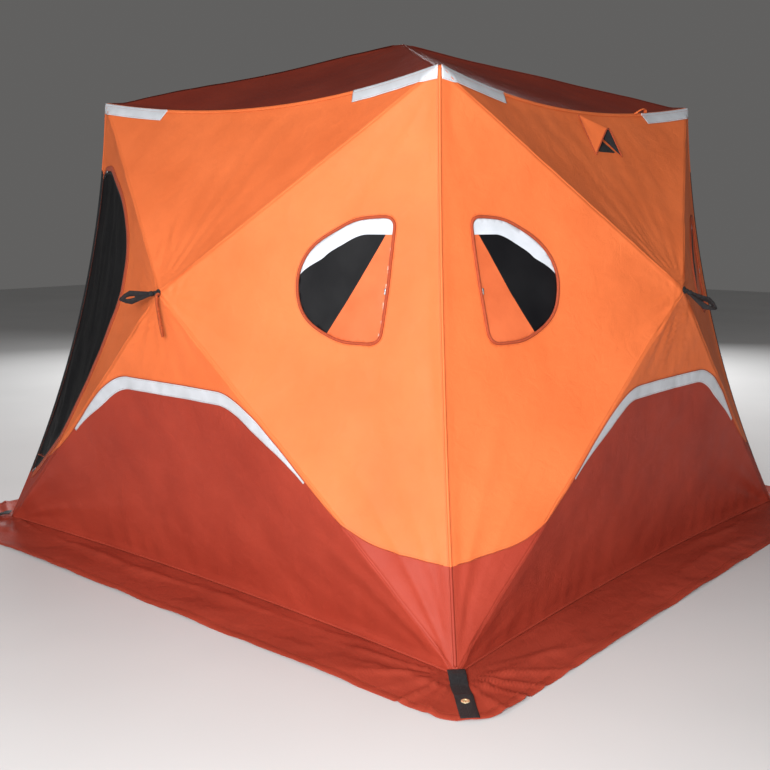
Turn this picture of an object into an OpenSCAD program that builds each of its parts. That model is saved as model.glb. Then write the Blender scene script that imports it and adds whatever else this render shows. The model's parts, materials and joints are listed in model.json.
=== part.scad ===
// Ice fishing hut: a square pop-up shelter of cloth panels, each wall pushed out and
// the roof pushed up by a hub and four straight rods. Origin: middle of the ground it stands on.
// Front faces -Y, right +X, back +Y, left -X. A wall is drawn facing -Y and turned into place.

/* [Cabin] */
// Width of the cabin between its corners at the ground
floor_w = 2400; // [2000:10:3000]
// Width of the cabin between its corners at the eaves
roof_w = 1726; // [1400:2:2100]
// Height of the eave corners above the ground
corner_h = 1740; // [1500:5:2100]
// Rise of the roof's peak above the eave corners
peak_rise = 250; // [150:5:400]
// Height of the wall hubs above the ground
hub_h = 1030; // [800:5:1250]
// How far each wall hub stands out past the foot of its wall
hub_push = 85; // [60:5:150]

/* [Cloth] */
// Thickness of the cloth of the walls, roof, doors and windows
cloth_t = 4; // [3:0.5:6]
// How far the corner seams bow in at half height, along each wall
seam_bow = 65; // [0:5:100]
// How far the eaves hang down halfway along
eave_drop = 70; // [0:5:110]
// How far the eaves pull in halfway along
eave_in = 40; // [0:5:80]
// How far the foot of each wall pulls in halfway along
foot_bow = 45; // [0:5:70]
// Number of straight stretches along each bowed edge
edge_steps = 8; // [4:2:12]

/* [Snow skirt] */
// Width of the snow skirt outside the walls
skirt_w = 230; // [150:5:330]
// Radius of the skirt's outer corners
skirt_r = 150; // [60:5:220]
// Thickness of the skirt
skirt_t = 4; // [3:0.5:6]
// Width of the skirt that lies under the foot of a wall
skirt_lap = 20; // [12:1:40]
// Size of the skirt's gusset under each corner foot
gusset = 62; // [50:2:90]

/* [Windows] */
// Height of a window
window_h = 390; // [250:5:450]
// Width of a window, from its straight side to its round side
window_w = 288; // [230:2:380]
// Gap between a corner seam and a window's straight side, on the front and back walls
front_window_gap = 163; // [70:1:180]
// Gap between a corner seam and a window's straight side, on the right and left walls
side_window_gap = 131; // [70:1:180]
// Height of a window's middle above the wall hubs
window_rise = 63; // [0:1:120]
// Radius of a window's two corners
window_corner_r = 28; // [10:1:60]

/* [Doors] */
// Drop from the eave corners to the top of a door
door_drop = 265; // [200:5:360]
// Height of the foot of a door's straight side
door_foot = 200; // [150:5:300]
// Gap between a corner seam and the door's straight side
door_seam_gap = 14; // [10:1:80]
// Distance from the middle of the wall to the door's round side
door_nose_x = 412; // [300:2:500]
// Radius of a door's round side
door_nose_r = 330; // [200:5:380]
// Height of the widest place of a door's round side above the wall hubs
door_nose_rise = 65; // [-60:5:100]
// Gap between a door and the ridge below it
door_ridge_gap = 28; // [15:1:60]
// Rounding of a door's corners
door_corner_r = 70; // [30:5:120]
// Gap all round a door or a window in its cut-out
panel_fit = 0.3; // [0.2:0.1:1]

/* [Vents] */
// Width of a vent hood's mouth
vent_w = 184; // [120:2:260]
// Length of a vent hood up the wall
vent_l = 148; // [90:2:160]
// Gap between the middle of an eave and the tip of a vent hood
vent_gap = 14; // [10:2:80]
// Place of a vent hood's middle along the wall
vent_x = 58; // [-150:2:150]
// How far a vent hood's mouth stands out from the wall
vent_out = 66; // [40:2:100]
// Thickness of a vent hood's cloth
vent_t = 3; // [2:0.5:5]

/* [Frame] */
// Diameter of the rods
rod_d = 11; // [8:0.5:14]
// Diameter of a hub's body
hub_d = 76; // [70:2:84]
// Thickness of a hub's body
hub_t = 14; // [10:1:24]
// Gap between the rim of a hub's body and the cloth round it, along the hub's axis
hub_gap = 2; // [1:0.5:6]
// Outer diameter of the rod sleeves on a hub
sleeve_d = 18; // [15:1:24]
// Length of a rod sleeve
sleeve_l = 50; // [30:5:80]
// Diameter of the stud that holds the cloth and the strap to a hub
stud_d = 16; // [12:1:24]
// Diameter of the cap outside the cloth
cap_d = 40; // [32:1:60]
// Thickness of the cap outside the cloth
cap_t = 4; // [3:0.5:8]
// Diameter of the cups that hold the rods at the corners
cup_d = 40; // [34:1:48]
// Running clearance of the frame's loose fits
fit_gap = 0.3; // [0.2:0.1:0.6]

/* [Straps] */
// Length of a hub's pull strap beyond its cap
pull_l = 130; // [80:2:150]
// Width of a hub's pull strap
pull_w = 36; // [25:1:50]
// Thickness of a hub's pull strap
pull_t = 6; // [3:0.5:10]
// Length of the finger slot in a pull strap
pull_slot_l = 40; // [25:1:60]
// Width of the finger slot in a pull strap
pull_slot_w = 12; // [6:1:16]
// Width of a corner strap
tie_w = 50; // [30:1:60]
// Thickness of a corner strap
tie_t = 3; // [2:0.5:5]
// Distance from the foot of the cabin's corner to the grommet
grommet_out = 177; // [120:1:200]
// Outer diameter of a grommet's rim
grommet_d = 26; // [20:1:36]
// Diameter of a grommet's hole
grommet_hole = 12; // [8:0.5:16]
// Wall of a grommet's barrel
grommet_wall = 1.2; // [0.8:0.1:2]
// Thickness of the pull cord on the front hub
cord_d = 12; // [8:0.5:12]

/* [Hidden] */

ORANGE = [0.92, 0.45, 0.18];
BRICK = [0.60, 0.20, 0.14];
ROOF_RED = [0.38, 0.14, 0.11];
BLACK = [0.08, 0.08, 0.09];
SMOKE = [0.25, 0.27, 0.30];
GRAPHITE = [0.30, 0.31, 0.33];
BRASS = [0.72, 0.58, 0.34];

floor_half = floor_w / 2;
roof_half = roof_w / 2;
peak_h = corner_h + peak_rise;
hub_out = floor_half + hub_push;
window_z = hub_h + window_rise;
door_top = corner_h - door_drop;
door_nose_z = hub_h + door_nose_rise;
vent_z = corner_h - eave_drop - vent_gap - vent_l;
// Cloth thickness measured along X, Y and Z at the edges, where two panels meet at a slant
edge_t = 0.8 * cloth_t;
// The hubs face square to the line from a floor corner to an eave corner
hub_tilt = atan((floor_half - roof_half) / corner_h);
hub_axis = [0, -cos(hub_tilt), sin(hub_tilt)];
hub_tip = [0, -hub_out, hub_h];
// Steepest fall of the cloth from a hub's tip, against the hub's face
upper_slope = (hub_out - roof_half + eave_in) / (corner_h - eave_drop - hub_h);
lower_slope = (hub_out - floor_half + foot_bow) / (hub_h - skirt_t);
roof_slope = (peak_rise + eave_drop) / (roof_half - eave_in);
hub_fall = max(atan(upper_slope) - hub_tilt, atan(lower_slope) + hub_tilt, atan(roof_slope));
// Depth of a hub's face behind the tip of the cloth
hub_set = hub_d / 2 * tan(hub_fall) + cloth_t / cos(hub_fall) + hub_gap;
rod_r = rod_d / 2;
bore_r = rod_r + fit_gap;
// Distance from where a hub's rods would meet to the bottom of its sleeves' bores
sleeve_start = 22;
// Depth of the rods' meeting point behind the tip of the cloth
rod_depth = hub_set + hub_t / 2;
hub_hole_r = stud_d / 2 + fit_gap;
// How far the cloth falls back from the tip for each mm out along a lower ridge
ridge_drop = -unit([floor_half, -floor_half, skirt_t] - hub_tip) * hub_axis;
// Depth of the cap's inner face behind the tip, just clear of the cloth round the stud
cap_depth = ridge_drop / sqrt(1 - ridge_drop * ridge_drop) * hub_hole_r - fit_gap;
cup_r = cup_d / 2;
// How deep a rod goes into a corner cup, from the cup's middle
cup_stop = 10;
// Heights of the cups' middles: below the inside of the eave corner, and above the skirt
eave_cup_down = 1.32 * cup_r;
floor_cup_up = 0.6 * cup_r;
skirt_half = floor_half + skirt_w;
skirt_diag = (skirt_half - skirt_r + skirt_r * cos(45)) * sqrt(2);
corner_diag = floor_half * sqrt(2);
strap_start = corner_diag + 2;
strap_top = skirt_t + tie_t;
// Thickness of a grommet's rim
rim_t = 1.2;
barrel_r = grommet_hole / 2 + grommet_wall;
// How far the cut-outs of windows, doors and vents reach each way from the foot's line
through = 400;
// A cut runs this far past the faces that it goes through
past = 1;
// Roundness of the frame's turned pieces
round_fn = 48;

// 1 in the middle of an edge, falling to 0 at its two ends at -1 and 1
function swell(u) = 1 - u * u;
function mix(a, b, t) = a + (b - a) * t;
function unit(v) = v / norm(v);
function steps(from, to) = [for (i = [0:edge_steps]) mix(from, to, i / edge_steps)];

// Points of the cloth in the wall's own frame, s = 0 on the outside and 1 on the inside
function tip_at(s) = [0, -hub_out + s * cloth_t, hub_h];
function peak_at(s) = [0, 0, peak_h - s * cloth_t];
function eave_at(u, s) =
  let (h = roof_half - s * edge_t)
  [h * u, -h + eave_in * swell(u), corner_h - s * edge_t - eave_drop * swell(u)];
function foot_at(u, s) =
  let (h = floor_half - s * edge_t)
  [h * u, -h + foot_bow * swell(u), skirt_t];
function seam_at(v, side, s) =
  let (h = mix(floor_half, roof_half, v) - seam_bow * swell(2 * v - 1) - s * edge_t)
  [side * h, -h, mix(skirt_t, corner_h - s * edge_t, v)];

// How far in from an inside corner, along X and Y, a cup's ball clears the panel that runs
// from that corner to the hub and to the next point of its edge; rise is its height over the corner
function clear_of(corner, next, rise) =
  let (n = cross(next - corner, tip_at(1) - corner), m = n[1] < 0 ? -unit(n) : unit(n))
  (cup_r + fit_gap - rise * m[2]) / (m[1] - m[0]);

function cup_in(corner, seam_next, edge_next, rise) =
  max(clear_of(corner, seam_next, rise), clear_of(corner, edge_next, rise));

// The edges' next points up or down the corner seam, and along the eave or the foot
step = 1 / edge_steps;
eave_cup_in = cup_in(eave_at(1, 1), seam_at(1 - step, 1, 1), eave_at(1 - 2 * step, 1), -eave_cup_down);
floor_cup_in = cup_in(foot_at(1, 1), seam_at(step, 1, 1), foot_at(1 - 2 * step, 1), floor_cup_up);

// Where the rods meet their cups, in the wall's own frame
function eave_cup(side) =
  let (h = roof_half - edge_t - eave_cup_in)
  [side * h, -h, corner_h - edge_t - eave_cup_down];
function floor_cup(side) =
  let (h = floor_half - edge_t - floor_cup_in)
  [side * h, -h, skirt_t + floor_cup_up];
hub_heart = hub_tip - rod_depth * hub_axis;
roof_heart = [0, 0, peak_h - rod_depth];

// A slab of cloth that fans out from a tip to a bowed edge. The edge runs clockwise seen
// from outside, or the other way where turned is true.
module fan(tip_out, tip_in, edge_out, edge_in, turned = false) {
  n = len(edge_out);
  e = n - 1;
  faces = concat(
    [for (k = [0:e - 1]) [0, 2 + k, 3 + k]],
    [for (k = [0:e - 1]) [1, n + 3 + k, n + 2 + k]],
    [for (k = [0:e - 1]) [3 + k, 2 + k, n + 3 + k]],
    [for (k = [0:e - 1]) [2 + k, n + 2 + k, n + 3 + k]],
    [[0, n + 2, 2], [0, 1, n + 2], [0, 2 + e, n + 2 + e], [0, n + 2 + e, 1]]
  );
  polyhedron(
    points = concat([tip_out, tip_in], edge_out, edge_in),
    faces = turned ? [for (f = faces) [f[0], f[2], f[1]]] : faces
  );
}

module upper_cloth(depth = 1) {
  fan(tip_at(0), tip_at(depth),
      [for (u = steps(-1, 1)) eave_at(u, 0)], [for (u = steps(-1, 1)) eave_at(u, depth)]);
}

module lower_cloth() {
  fan(tip_at(0), tip_at(1),
      [for (u = steps(-1, 1)) foot_at(u, 0)], [for (u = steps(-1, 1)) foot_at(u, 1)], true);
}

// side is 1 for the panel towards +X and -1 for the one towards -X
module side_cloth(side) {
  fan(tip_at(0), tip_at(1),
      [for (v = steps(0, 1)) seam_at(v, side, 0)], [for (v = steps(0, 1)) seam_at(v, side, 1)], side > 0);
}

// A wall's parts are drawn facing -Y and turned: 0 front, 1 right, 2 back, 3 left
module on_wall(k) {
  rotate([0, 0, 90 * k]) children();
}

// Stands +Z out along a wall hub's axis, from the tip of the cloth
module at_hub() {
  translate(hub_tip) rotate([90 - hub_tilt, 0, 0]) children();
}

module rod_between(a, b, r, from, to) {
  d = unit(b - a);
  translate(a + from * d)
    rotate([0, acos(d[2]), atan2(d[1], d[0])])
      cylinder(h = norm(b - a) - from - to, r = r, $fn = 32);
}

// Carries an outline drawn in X and Z right through the front wall
module through_wall() {
  translate([0, -floor_half + through, 0])
    rotate([90, 0, 0])
      linear_extrude(2 * through) children();
}

module hub_hole() {
  reach = 3 * hub_set;
  at_hub() translate([0, 0, -reach]) cylinder(h = 2 * reach, r = hub_hole_r, $fn = round_fn);
}

// D-shaped window, its straight side the gap away from the corner seam; grow widens it all round
module window_outline(side, gap, grow = 0) {
  r = window_h / 2;
  c = window_corner_r;
  straight = half_at(window_z) - gap;
  middle = straight - window_w + r;
  scale([side, 1])
    hull() {
      // The half of the round side's circle that lies towards the hub
      intersection() {
        translate([middle, window_z]) circle(r = r + grow, $fn = 72);
        translate([middle - 2 * r, window_z - 2 * r]) square([2 * r, 4 * r]);
      }
      for (z = [-1, 1])
        translate([straight - c, window_z + z * (r - c)]) circle(r = c + grow, $fn = 24);
    }
}

// Half width of the wall at a height, along its straightest line
function half_at(z) = mix(floor_half, roof_half, z / corner_h) - seam_bow * swell(2 * z / corner_h - 1);

// Height of the ridge from a wall hub down to the floor corner, at a distance from the wall's middle
function ridge_z(x) = mix(hub_h, skirt_t, x / floor_half);

// Middles of the rounds down the door's straight side, from the foot up
function door_seam_point(z, r) = [-(half_at(z) - door_seam_gap - r), z];

// D-shaped door: its straight side runs along the corner seam and its round side points to the hub
module door_outline(grow = 0) {
  r = door_corner_r;
  low = door_foot + r / 2;
  high = door_top - r;
  // The door's top edge runs level for this far before it curves down
  top_run = 60;
  // The heel is where the round side turns to follow the ridge down
  heel_x = 0.5 * (door_nose_x + floor_half);
  heel = [-heel_x, ridge_z(heel_x) + (door_ridge_gap + r) * norm([floor_half, hub_h]) / floor_half];
  module spot(p, size) {
    translate(p) circle(r = size + grow, $fn = 32);
  }
  module seam_spot(t) {
    z = mix(low, high, t);
    size = t == 0 ? r / 2 : r;
    spot(door_seam_point(z, size), size);
  }
  module nose() {
    middle = -(door_nose_x + door_nose_r);
    intersection() {
      translate([middle, door_nose_z]) circle(r = door_nose_r + grow, $fn = 96);
      translate([middle, door_nose_z - 2 * door_nose_r]) square([2 * door_nose_r, 4 * door_nose_r]);
    }
  }
  hull() {
    seam_spot(0);
    seam_spot(0.25);
    spot(heel, r);
    nose();
  }
  for (t = [0.25, 0.5])
    hull() {
      seam_spot(t);
      seam_spot(t + 0.25);
      nose();
    }
  hull() {
    seam_spot(0.75);
    seam_spot(1);
    spot(door_seam_point(high, r) + [top_run, 0], r);
    nose();
  }
}

module window_pane(side, gap) {
  color(SMOKE) intersection() {
    side_cloth(side);
    through_wall() window_outline(side, gap, -panel_fit);
  }
}

module window_side_panel(side, gap) {
  color(ORANGE) difference() {
    side_cloth(side);
    hub_hole();
    through_wall() window_outline(side, gap);
  }
}

module door_side_panel() {
  color(ORANGE) difference() {
    side_cloth(-1);
    hub_hole();
    through_wall() door_outline();
  }
}

module door() {
  color(BLACK) intersection() {
    side_cloth(-1);
    through_wall() door_outline(-panel_fit);
  }
}

// A point on the upper panel's middle line or beside it, lifted off the cloth by out
function on_upper(x, z, out) =
  [x, -hub_out + upper_slope * (z - hub_h), z] + out * unit([0, -1, upper_slope]);

// A hood's tip and two legs, drawn in by an inset, at a distance off the cloth
function vent_feet(inset, out) =
  let (foot = vent_z - 0.7 * inset)
  [on_upper(vent_x - 0.25 * vent_w, vent_z + vent_l - inset, out),
   on_upper(vent_x - vent_w / 2 + inset, foot, out),
   on_upper(vent_x + vent_w / 2 - inset, foot, out)];

// The cloth of a hood: its outer form less its hollow, which opens downwards, cut off at the wall
module vent_shell() {
  sunk = -40;
  inset = 3 * vent_t;
  peak = on_upper(vent_x, vent_z + 0.15 * vent_l, vent_out);
  hollow_peak = on_upper(vent_x, vent_z - 0.7 * inset, vent_out - inset);
  difference() {
    hull() specks(concat(vent_feet(0, 0), vent_feet(0, sunk), [peak]));
    hull() specks(concat(vent_feet(inset, -vent_t), vent_feet(inset, 2 * sunk), [hollow_peak]));
    upper_cloth(3 * cloth_t);
  }
}

// A speck at each point, for hull() to wrap
module specks(points) {
  for (p = points) translate(p) cube(0.1, center = true);
}

module vent_hole() {
  through_wall() polygon([
    [vent_x - 0.22 * vent_w, vent_z + 0.2 * vent_l], [vent_x + 0.22 * vent_w, vent_z + 0.2 * vent_l],
    [vent_x - 0.1 * vent_w, vent_z + 0.62 * vent_l]
  ]);
}

module upper_panel(vented = false) {
  color(ORANGE) difference() {
    upper_cloth();
    hub_hole();
    if (vented) vent_hole();
  }
}

module lower_panel() {
  color(BRICK) difference() {
    lower_cloth();
    hub_hole();
  }
}

module roof_panel() {
  color(ROOF_RED)
    fan(peak_at(0), peak_at(1),
        [for (u = steps(-1, 1)) eave_at(u, 0)], [for (u = steps(-1, 1)) eave_at(u, 1)], true);
}

module at_corner() {
  rotate([0, 0, -45]) children();
}

module skirt() {
  ends = floor_half - 2 * gusset;
  inner = [for (u = steps(-1, 1))
    [ends * u, -floor_half + skirt_lap + foot_bow * swell(ends * u / floor_half)]];
  c = skirt_half - skirt_r;
  right_arc = [for (a = [-45:-9:-90]) [c + skirt_r * cos(a), -c + skirt_r * sin(a)]];
  left_arc = [for (a = [-90:-9:-135]) [-c + skirt_r * cos(a), -c + skirt_r * sin(a)]];
  g = floor_half - gusset;
  color(BRICK) difference() {
    linear_extrude(skirt_t)
      polygon(concat([[-g, -g]], inner, [[g, -g]], right_arc, left_arc));
    for (side = [0, -90])
      rotate([0, 0, side]) at_corner() translate([corner_diag + grommet_out, 0, -past])
        cylinder(h = skirt_t + 2 * past, r = barrel_r + fit_gap, $fn = round_fn);
  }
}

module corner_strap() {
  color(BLACK) at_corner() difference() {
    translate([strap_start, -tie_w / 2, skirt_t])
      cube([skirt_diag - strap_start, tie_w, tie_t]);
    translate([corner_diag + grommet_out, 0, 0])
      cylinder(h = strap_top + past, r = barrel_r + fit_gap, $fn = round_fn);
  }
}

module grommet() {
  color(BRASS) at_corner() translate([corner_diag + grommet_out, 0, 0]) difference() {
    union() {
      cylinder(h = strap_top + rim_t, r = barrel_r, $fn = round_fn);
      translate([0, 0, strap_top]) cylinder(h = rim_t, r = grommet_d / 2, $fn = round_fn);
    }
    translate([0, 0, -past])
      cylinder(h = strap_top + rim_t + 2 * past, r = grommet_hole / 2, $fn = round_fn);
  }
}

// Sleeves that hold the four rods of a hub whose rods run from heart to ends
module sleeves(heart, ends) {
  for (e = ends) rod_between(heart, e, sleeve_d / 2, 0, norm(e - heart) - sleeve_start - sleeve_l);
}

module sleeve_bores(heart, ends) {
  bore_l = sleeve_l + 5 * past;
  for (e = ends) rod_between(heart, e, bore_r, sleeve_start, norm(e - heart) - sleeve_start - bore_l);
}

wall_ends = [eave_cup(1), eave_cup(-1), floor_cup(1), floor_cup(-1)];
roof_ends = [for (k = [0:3])
  let (a = 90 * k, p = eave_cup(1))
  [p[0] * cos(a) - p[1] * sin(a), p[0] * sin(a) + p[1] * cos(a), p[2]]];

module wall_hub() {
  color(GRAPHITE) difference() {
    union() {
      at_hub() translate([0, 0, -hub_set - hub_t]) cylinder(h = hub_t, d = hub_d, $fn = 64);
      at_hub() translate([0, 0, -hub_set]) cylinder(h = hub_set - cap_depth, d = stud_d, $fn = round_fn);
      sleeves(hub_heart, wall_ends);
    }
    sleeve_bores(hub_heart, wall_ends);
  }
}

module roof_hub() {
  // The stud ends just under the cloth, which slopes away from the peak
  stud_top = peak_h - cloth_t - roof_slope * stud_d / 2 - fit_gap;
  color(GRAPHITE) difference() {
    union() {
      translate([0, 0, peak_h - hub_set - hub_t]) cylinder(h = hub_t, d = hub_d, $fn = 64);
      translate([0, 0, peak_h - hub_set])
        cylinder(h = stud_top - peak_h + hub_set, d = stud_d, $fn = round_fn);
      sleeves(roof_heart, roof_ends);
    }
    sleeve_bores(roof_heart, roof_ends);
  }
}

module rods(heart, ends) {
  color(GRAPHITE) for (e = ends) rod_between(heart, e, rod_r, sleeve_start + fit_gap, cup_stop + fit_gap);
}

// A rod's bore in its cup starts this far from the hub
bore_from = 500;

module eave_cup_body() {
  p = eave_cup(1);
  color(GRAPHITE) difference() {
    translate(p) sphere(r = cup_r, $fn = round_fn);
    rod_between(hub_heart, p, bore_r, bore_from, cup_stop);
    rotate([0, 0, 90]) rod_between(hub_heart, eave_cup(-1), bore_r, bore_from, cup_stop);
    rod_between(roof_heart, p, bore_r, bore_from, cup_stop);
  }
}

module floor_cup_body() {
  p = floor_cup(1);
  color(GRAPHITE) difference() {
    translate(p) sphere(r = cup_r, $fn = round_fn);
    translate([p[0] - cup_d, p[1] - cup_d, skirt_t - cup_d]) cube([2 * cup_d, 2 * cup_d, cup_d]);
    rod_between(hub_heart, p, bore_r, bore_from, cup_stop);
    rotate([0, 0, 90]) rod_between(hub_heart, floor_cup(-1), bore_r, bore_from, cup_stop);
  }
}

// Cap outside the cloth with its webbing strap, pointed at the end and slotted for a finger.
// swing turns the strap sideways and droop lowers it.
module pull_strap(swing, droop) {
  // The strap is sewn this far into the cap's face
  sewn = 0.5;
  root = hub_tip + (cap_t - cap_depth - sewn) * hub_axis;
  half = pull_w / 2;
  color(BLACK) {
    at_hub() translate([0, 0, -cap_depth]) cylinder(h = cap_t, d = cap_d, $fn = round_fn);
    translate(root) rotate([0, 0, swing]) rotate([droop, 0, 0]) rotate([90, 0, 90])
      translate([0, 0, -pull_t / 2]) linear_extrude(pull_t) difference() {
        polygon([
          [0, -0.2 * half], [-0.7 * pull_l, -half], [-pull_l, -0.15 * half],
          [-pull_l, 0.15 * half], [-0.7 * pull_l, half], [0, 0.2 * half]
        ]);
        translate([-0.7 * pull_l, 0]) square([pull_slot_l, pull_slot_w], center = true);
      }
  }
}

// The front hub's pull cord leaves its cap beside the strap and hangs down to a whipped end
cord_route = [
  [15, -1288.5, 1031], [15, -1296, 1032], [18, -1303, 1027], [22, -1306, 1014], [25, -1307, 998],
  [28, -1307, 980], [31, -1306, 960], [34, -1305, 940], [37, -1303, 920], [39, -1301, 900], [40, -1300, 890]
];
cord_sides = 8;

// Rings of points round a route, kept square to it and without twist about X
function along(route, i) =
  unit(route[min(i + 1, len(route) - 1)] - route[max(i - 1, 0)]);
function ring(route, i, r) =
  let (d = along(route, i), a = unit(cross(d, [0, 1, 0])), b = cross(d, a), turn = 360 / cord_sides)
  [for (k = [0:cord_sides - 1]) route[i] + r * (cos(turn * k) * a + sin(turn * k) * b)];

module swept(route, r) {
  n = len(route);
  m = cord_sides;
  polyhedron(
    points = [for (i = [0:n - 1]) each ring(route, i, r)],
    faces = concat(
      [[for (k = [m - 1:-1:0]) k]],
      [for (i = [0:n - 2], k = [0:m - 1]) [i * m + k, i * m + (k + 1) % m, (i + 1) * m + (k + 1) % m]],
      [for (i = [0:n - 2], k = [0:m - 1]) [i * m + k, (i + 1) * m + (k + 1) % m, (i + 1) * m + k]],
      [[for (k = [0:m - 1]) (n - 1) * m + k]]
    )
  );
}

module front_upper_panel() { on_wall(0) upper_panel(); }
module front_lower_panel() { on_wall(0) lower_panel(); }
module front_window_panel() { on_wall(0) window_side_panel(1, front_window_gap); }
module front_door_panel() { on_wall(0) door_side_panel(); }
module right_upper_panel() { on_wall(1) upper_panel(true); }
module right_lower_panel() { on_wall(1) lower_panel(); }
module right_front_panel() { on_wall(1) window_side_panel(-1, side_window_gap); }
module right_back_panel() { on_wall(1) window_side_panel(1, side_window_gap); }
module back_upper_panel() { on_wall(2) upper_panel(); }
module back_lower_panel() { on_wall(2) lower_panel(); }
module back_window_panel() { on_wall(2) window_side_panel(1, front_window_gap); }
module back_door_panel() { on_wall(2) door_side_panel(); }
module left_upper_panel() { on_wall(3) upper_panel(true); }
module left_lower_panel() { on_wall(3) lower_panel(); }
module left_back_panel() { on_wall(3) window_side_panel(-1, side_window_gap); }
module left_front_panel() { on_wall(3) window_side_panel(1, side_window_gap); }
module roof_front_panel() { on_wall(0) roof_panel(); }
module roof_right_panel() { on_wall(1) roof_panel(); }
module roof_back_panel() { on_wall(2) roof_panel(); }
module roof_left_panel() { on_wall(3) roof_panel(); }
module front_skirt() { on_wall(0) skirt(); }
module right_skirt() { on_wall(1) skirt(); }
module back_skirt() { on_wall(2) skirt(); }
module left_skirt() { on_wall(3) skirt(); }
module front_door() { on_wall(0) door(); }
module back_door() { on_wall(2) door(); }
module front_window() { on_wall(0) window_pane(1, front_window_gap); }
module back_window() { on_wall(2) window_pane(1, front_window_gap); }
module right_windows() { for (side = [-1, 1]) on_wall(1) window_pane(side, side_window_gap); }
module left_windows() { for (side = [-1, 1]) on_wall(3) window_pane(side, side_window_gap); }
module right_vent_hood() { color(ORANGE) on_wall(1) vent_shell(); }
module left_vent_hood() { color(ORANGE) on_wall(3) vent_shell(); }
module wall_hubs() { for (k = [0:3]) on_wall(k) wall_hub(); }
module roof_rods() { rods(roof_heart, roof_ends); }
module front_wall_rods() { on_wall(0) rods(hub_heart, wall_ends); }
module right_wall_rods() { on_wall(1) rods(hub_heart, wall_ends); }
module back_wall_rods() { on_wall(2) rods(hub_heart, wall_ends); }
module left_wall_rods() { on_wall(3) rods(hub_heart, wall_ends); }
module eave_corner_cups() { for (k = [0:3]) on_wall(k) eave_cup_body(); }
module floor_corner_cups() { for (k = [0:3]) on_wall(k) floor_cup_body(); }
module hub_pull_straps() { for (k = [0:3]) on_wall(k) pull_strap(k % 2 == 0 ? -25 : 0, k % 2 == 0 ? 8 : 28); }
module corner_straps() { for (k = [0:3]) on_wall(k) corner_strap(); }
module corner_grommets() { for (k = [0:3]) on_wall(k) grommet(); }
module front_pull_cord() { color(ORANGE) swept(cord_route, cord_d / 2); }

front_upper_panel();
front_lower_panel();
front_window_panel();
front_door_panel();
right_upper_panel();
right_lower_panel();
right_front_panel();
right_back_panel();
back_upper_panel();
back_lower_panel();
back_window_panel();
back_door_panel();
left_upper_panel();
left_lower_panel();
left_back_panel();
left_front_panel();
roof_front_panel();
roof_right_panel();
roof_back_panel();
roof_left_panel();
front_skirt();
right_skirt();
back_skirt();
left_skirt();
front_door();
back_door();
front_window();
right_windows();
back_window();
left_windows();
right_vent_hood();
left_vent_hood();
roof_hub();
wall_hubs();
roof_rods();
front_wall_rods();
right_wall_rods();
back_wall_rods();
left_wall_rods();
eave_corner_cups();
floor_corner_cups();
hub_pull_straps();
corner_straps();
corner_grommets();
front_pull_cord();
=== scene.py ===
import json
import math

import bpy
import numpy as np
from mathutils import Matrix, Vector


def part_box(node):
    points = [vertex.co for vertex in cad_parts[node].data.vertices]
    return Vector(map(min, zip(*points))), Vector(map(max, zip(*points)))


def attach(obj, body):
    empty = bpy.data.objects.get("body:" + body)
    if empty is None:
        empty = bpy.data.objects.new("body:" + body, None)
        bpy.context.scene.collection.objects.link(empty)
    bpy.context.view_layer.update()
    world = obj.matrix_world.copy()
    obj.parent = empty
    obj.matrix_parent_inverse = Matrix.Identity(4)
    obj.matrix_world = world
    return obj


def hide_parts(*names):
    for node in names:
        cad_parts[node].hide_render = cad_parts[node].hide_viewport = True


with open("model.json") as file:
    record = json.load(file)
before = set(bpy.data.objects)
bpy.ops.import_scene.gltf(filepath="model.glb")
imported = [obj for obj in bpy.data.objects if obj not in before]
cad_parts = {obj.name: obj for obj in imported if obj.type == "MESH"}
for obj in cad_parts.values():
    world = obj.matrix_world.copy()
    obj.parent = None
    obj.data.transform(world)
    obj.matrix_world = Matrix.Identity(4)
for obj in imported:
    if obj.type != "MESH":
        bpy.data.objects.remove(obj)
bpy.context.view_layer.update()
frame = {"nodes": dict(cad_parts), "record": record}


# ---- Camera
# Stands off the hut's front right corner at chest height, a little to the side
# of the corner's diagonal, and looks slightly down.
camera = bpy.data.objects.new("camera", bpy.data.cameras.new("camera"))
bpy.context.collection.objects.link(camera)
camera.location = (2.840, -3.415, 1.295)
camera.rotation_euler = (math.radians(80.60), 0, math.radians(40.695))
camera.data.sensor_width = 36
camera.data.lens = 48.18
bpy.context.scene.camera = camera
bpy.context.scene.view_settings.view_transform = "Standard"


# ---- Pull cord
# A short tail of three twisted strands, hanging from the front hub's cap.
# Each strand is a soft round yarn, and the end is whipped with thread.
CORD_D = 0.012
STRAND_R = 0.262 * CORD_D
STRAND_OFF = 0.25 * CORD_D
LAY_LENGTH = 0.024
WHIPPING_R = 0.44 * CORD_D
WHIPPING_TURNS = 5
WHIPPING_THREAD_R = 0.0007
cord_route = np.array([
    [15, -1288.5, 1031], [15, -1296, 1032], [18, -1303, 1027], [22, -1306, 1014],
    [25, -1307, 998], [28, -1307, 980], [31, -1306, 960], [34, -1305, 940],
    [37, -1303, 920], [39, -1301, 900], [40, -1300, 890],
]) / 1000


def along(points, closed=False):
    """Unit directions along a line of points."""
    if closed:
        run = np.roll(points, -1, axis=0) - np.roll(points, 1, axis=0)
    else:
        run = np.gradient(points, axis=0)
    return run / np.linalg.norm(run, axis=1, keepdims=True)


def even_line(points, spacing, closed=False):
    """The same line with its points evenly spaced."""
    points = np.asarray(points, float)
    if closed:
        points = np.vstack([points, points[:1]])
    gaps = np.linalg.norm(np.diff(points, axis=0), axis=1)
    reach = np.concatenate([[0], np.cumsum(gaps)])
    count = max(3, int(round(reach[-1] / spacing)) + 1)
    wanted = np.linspace(0, reach[-1], count)
    if closed:
        wanted = wanted[:-1]
    return np.stack([np.interp(wanted, reach, points[:, i]) for i in range(points.shape[1])], 1)


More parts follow.
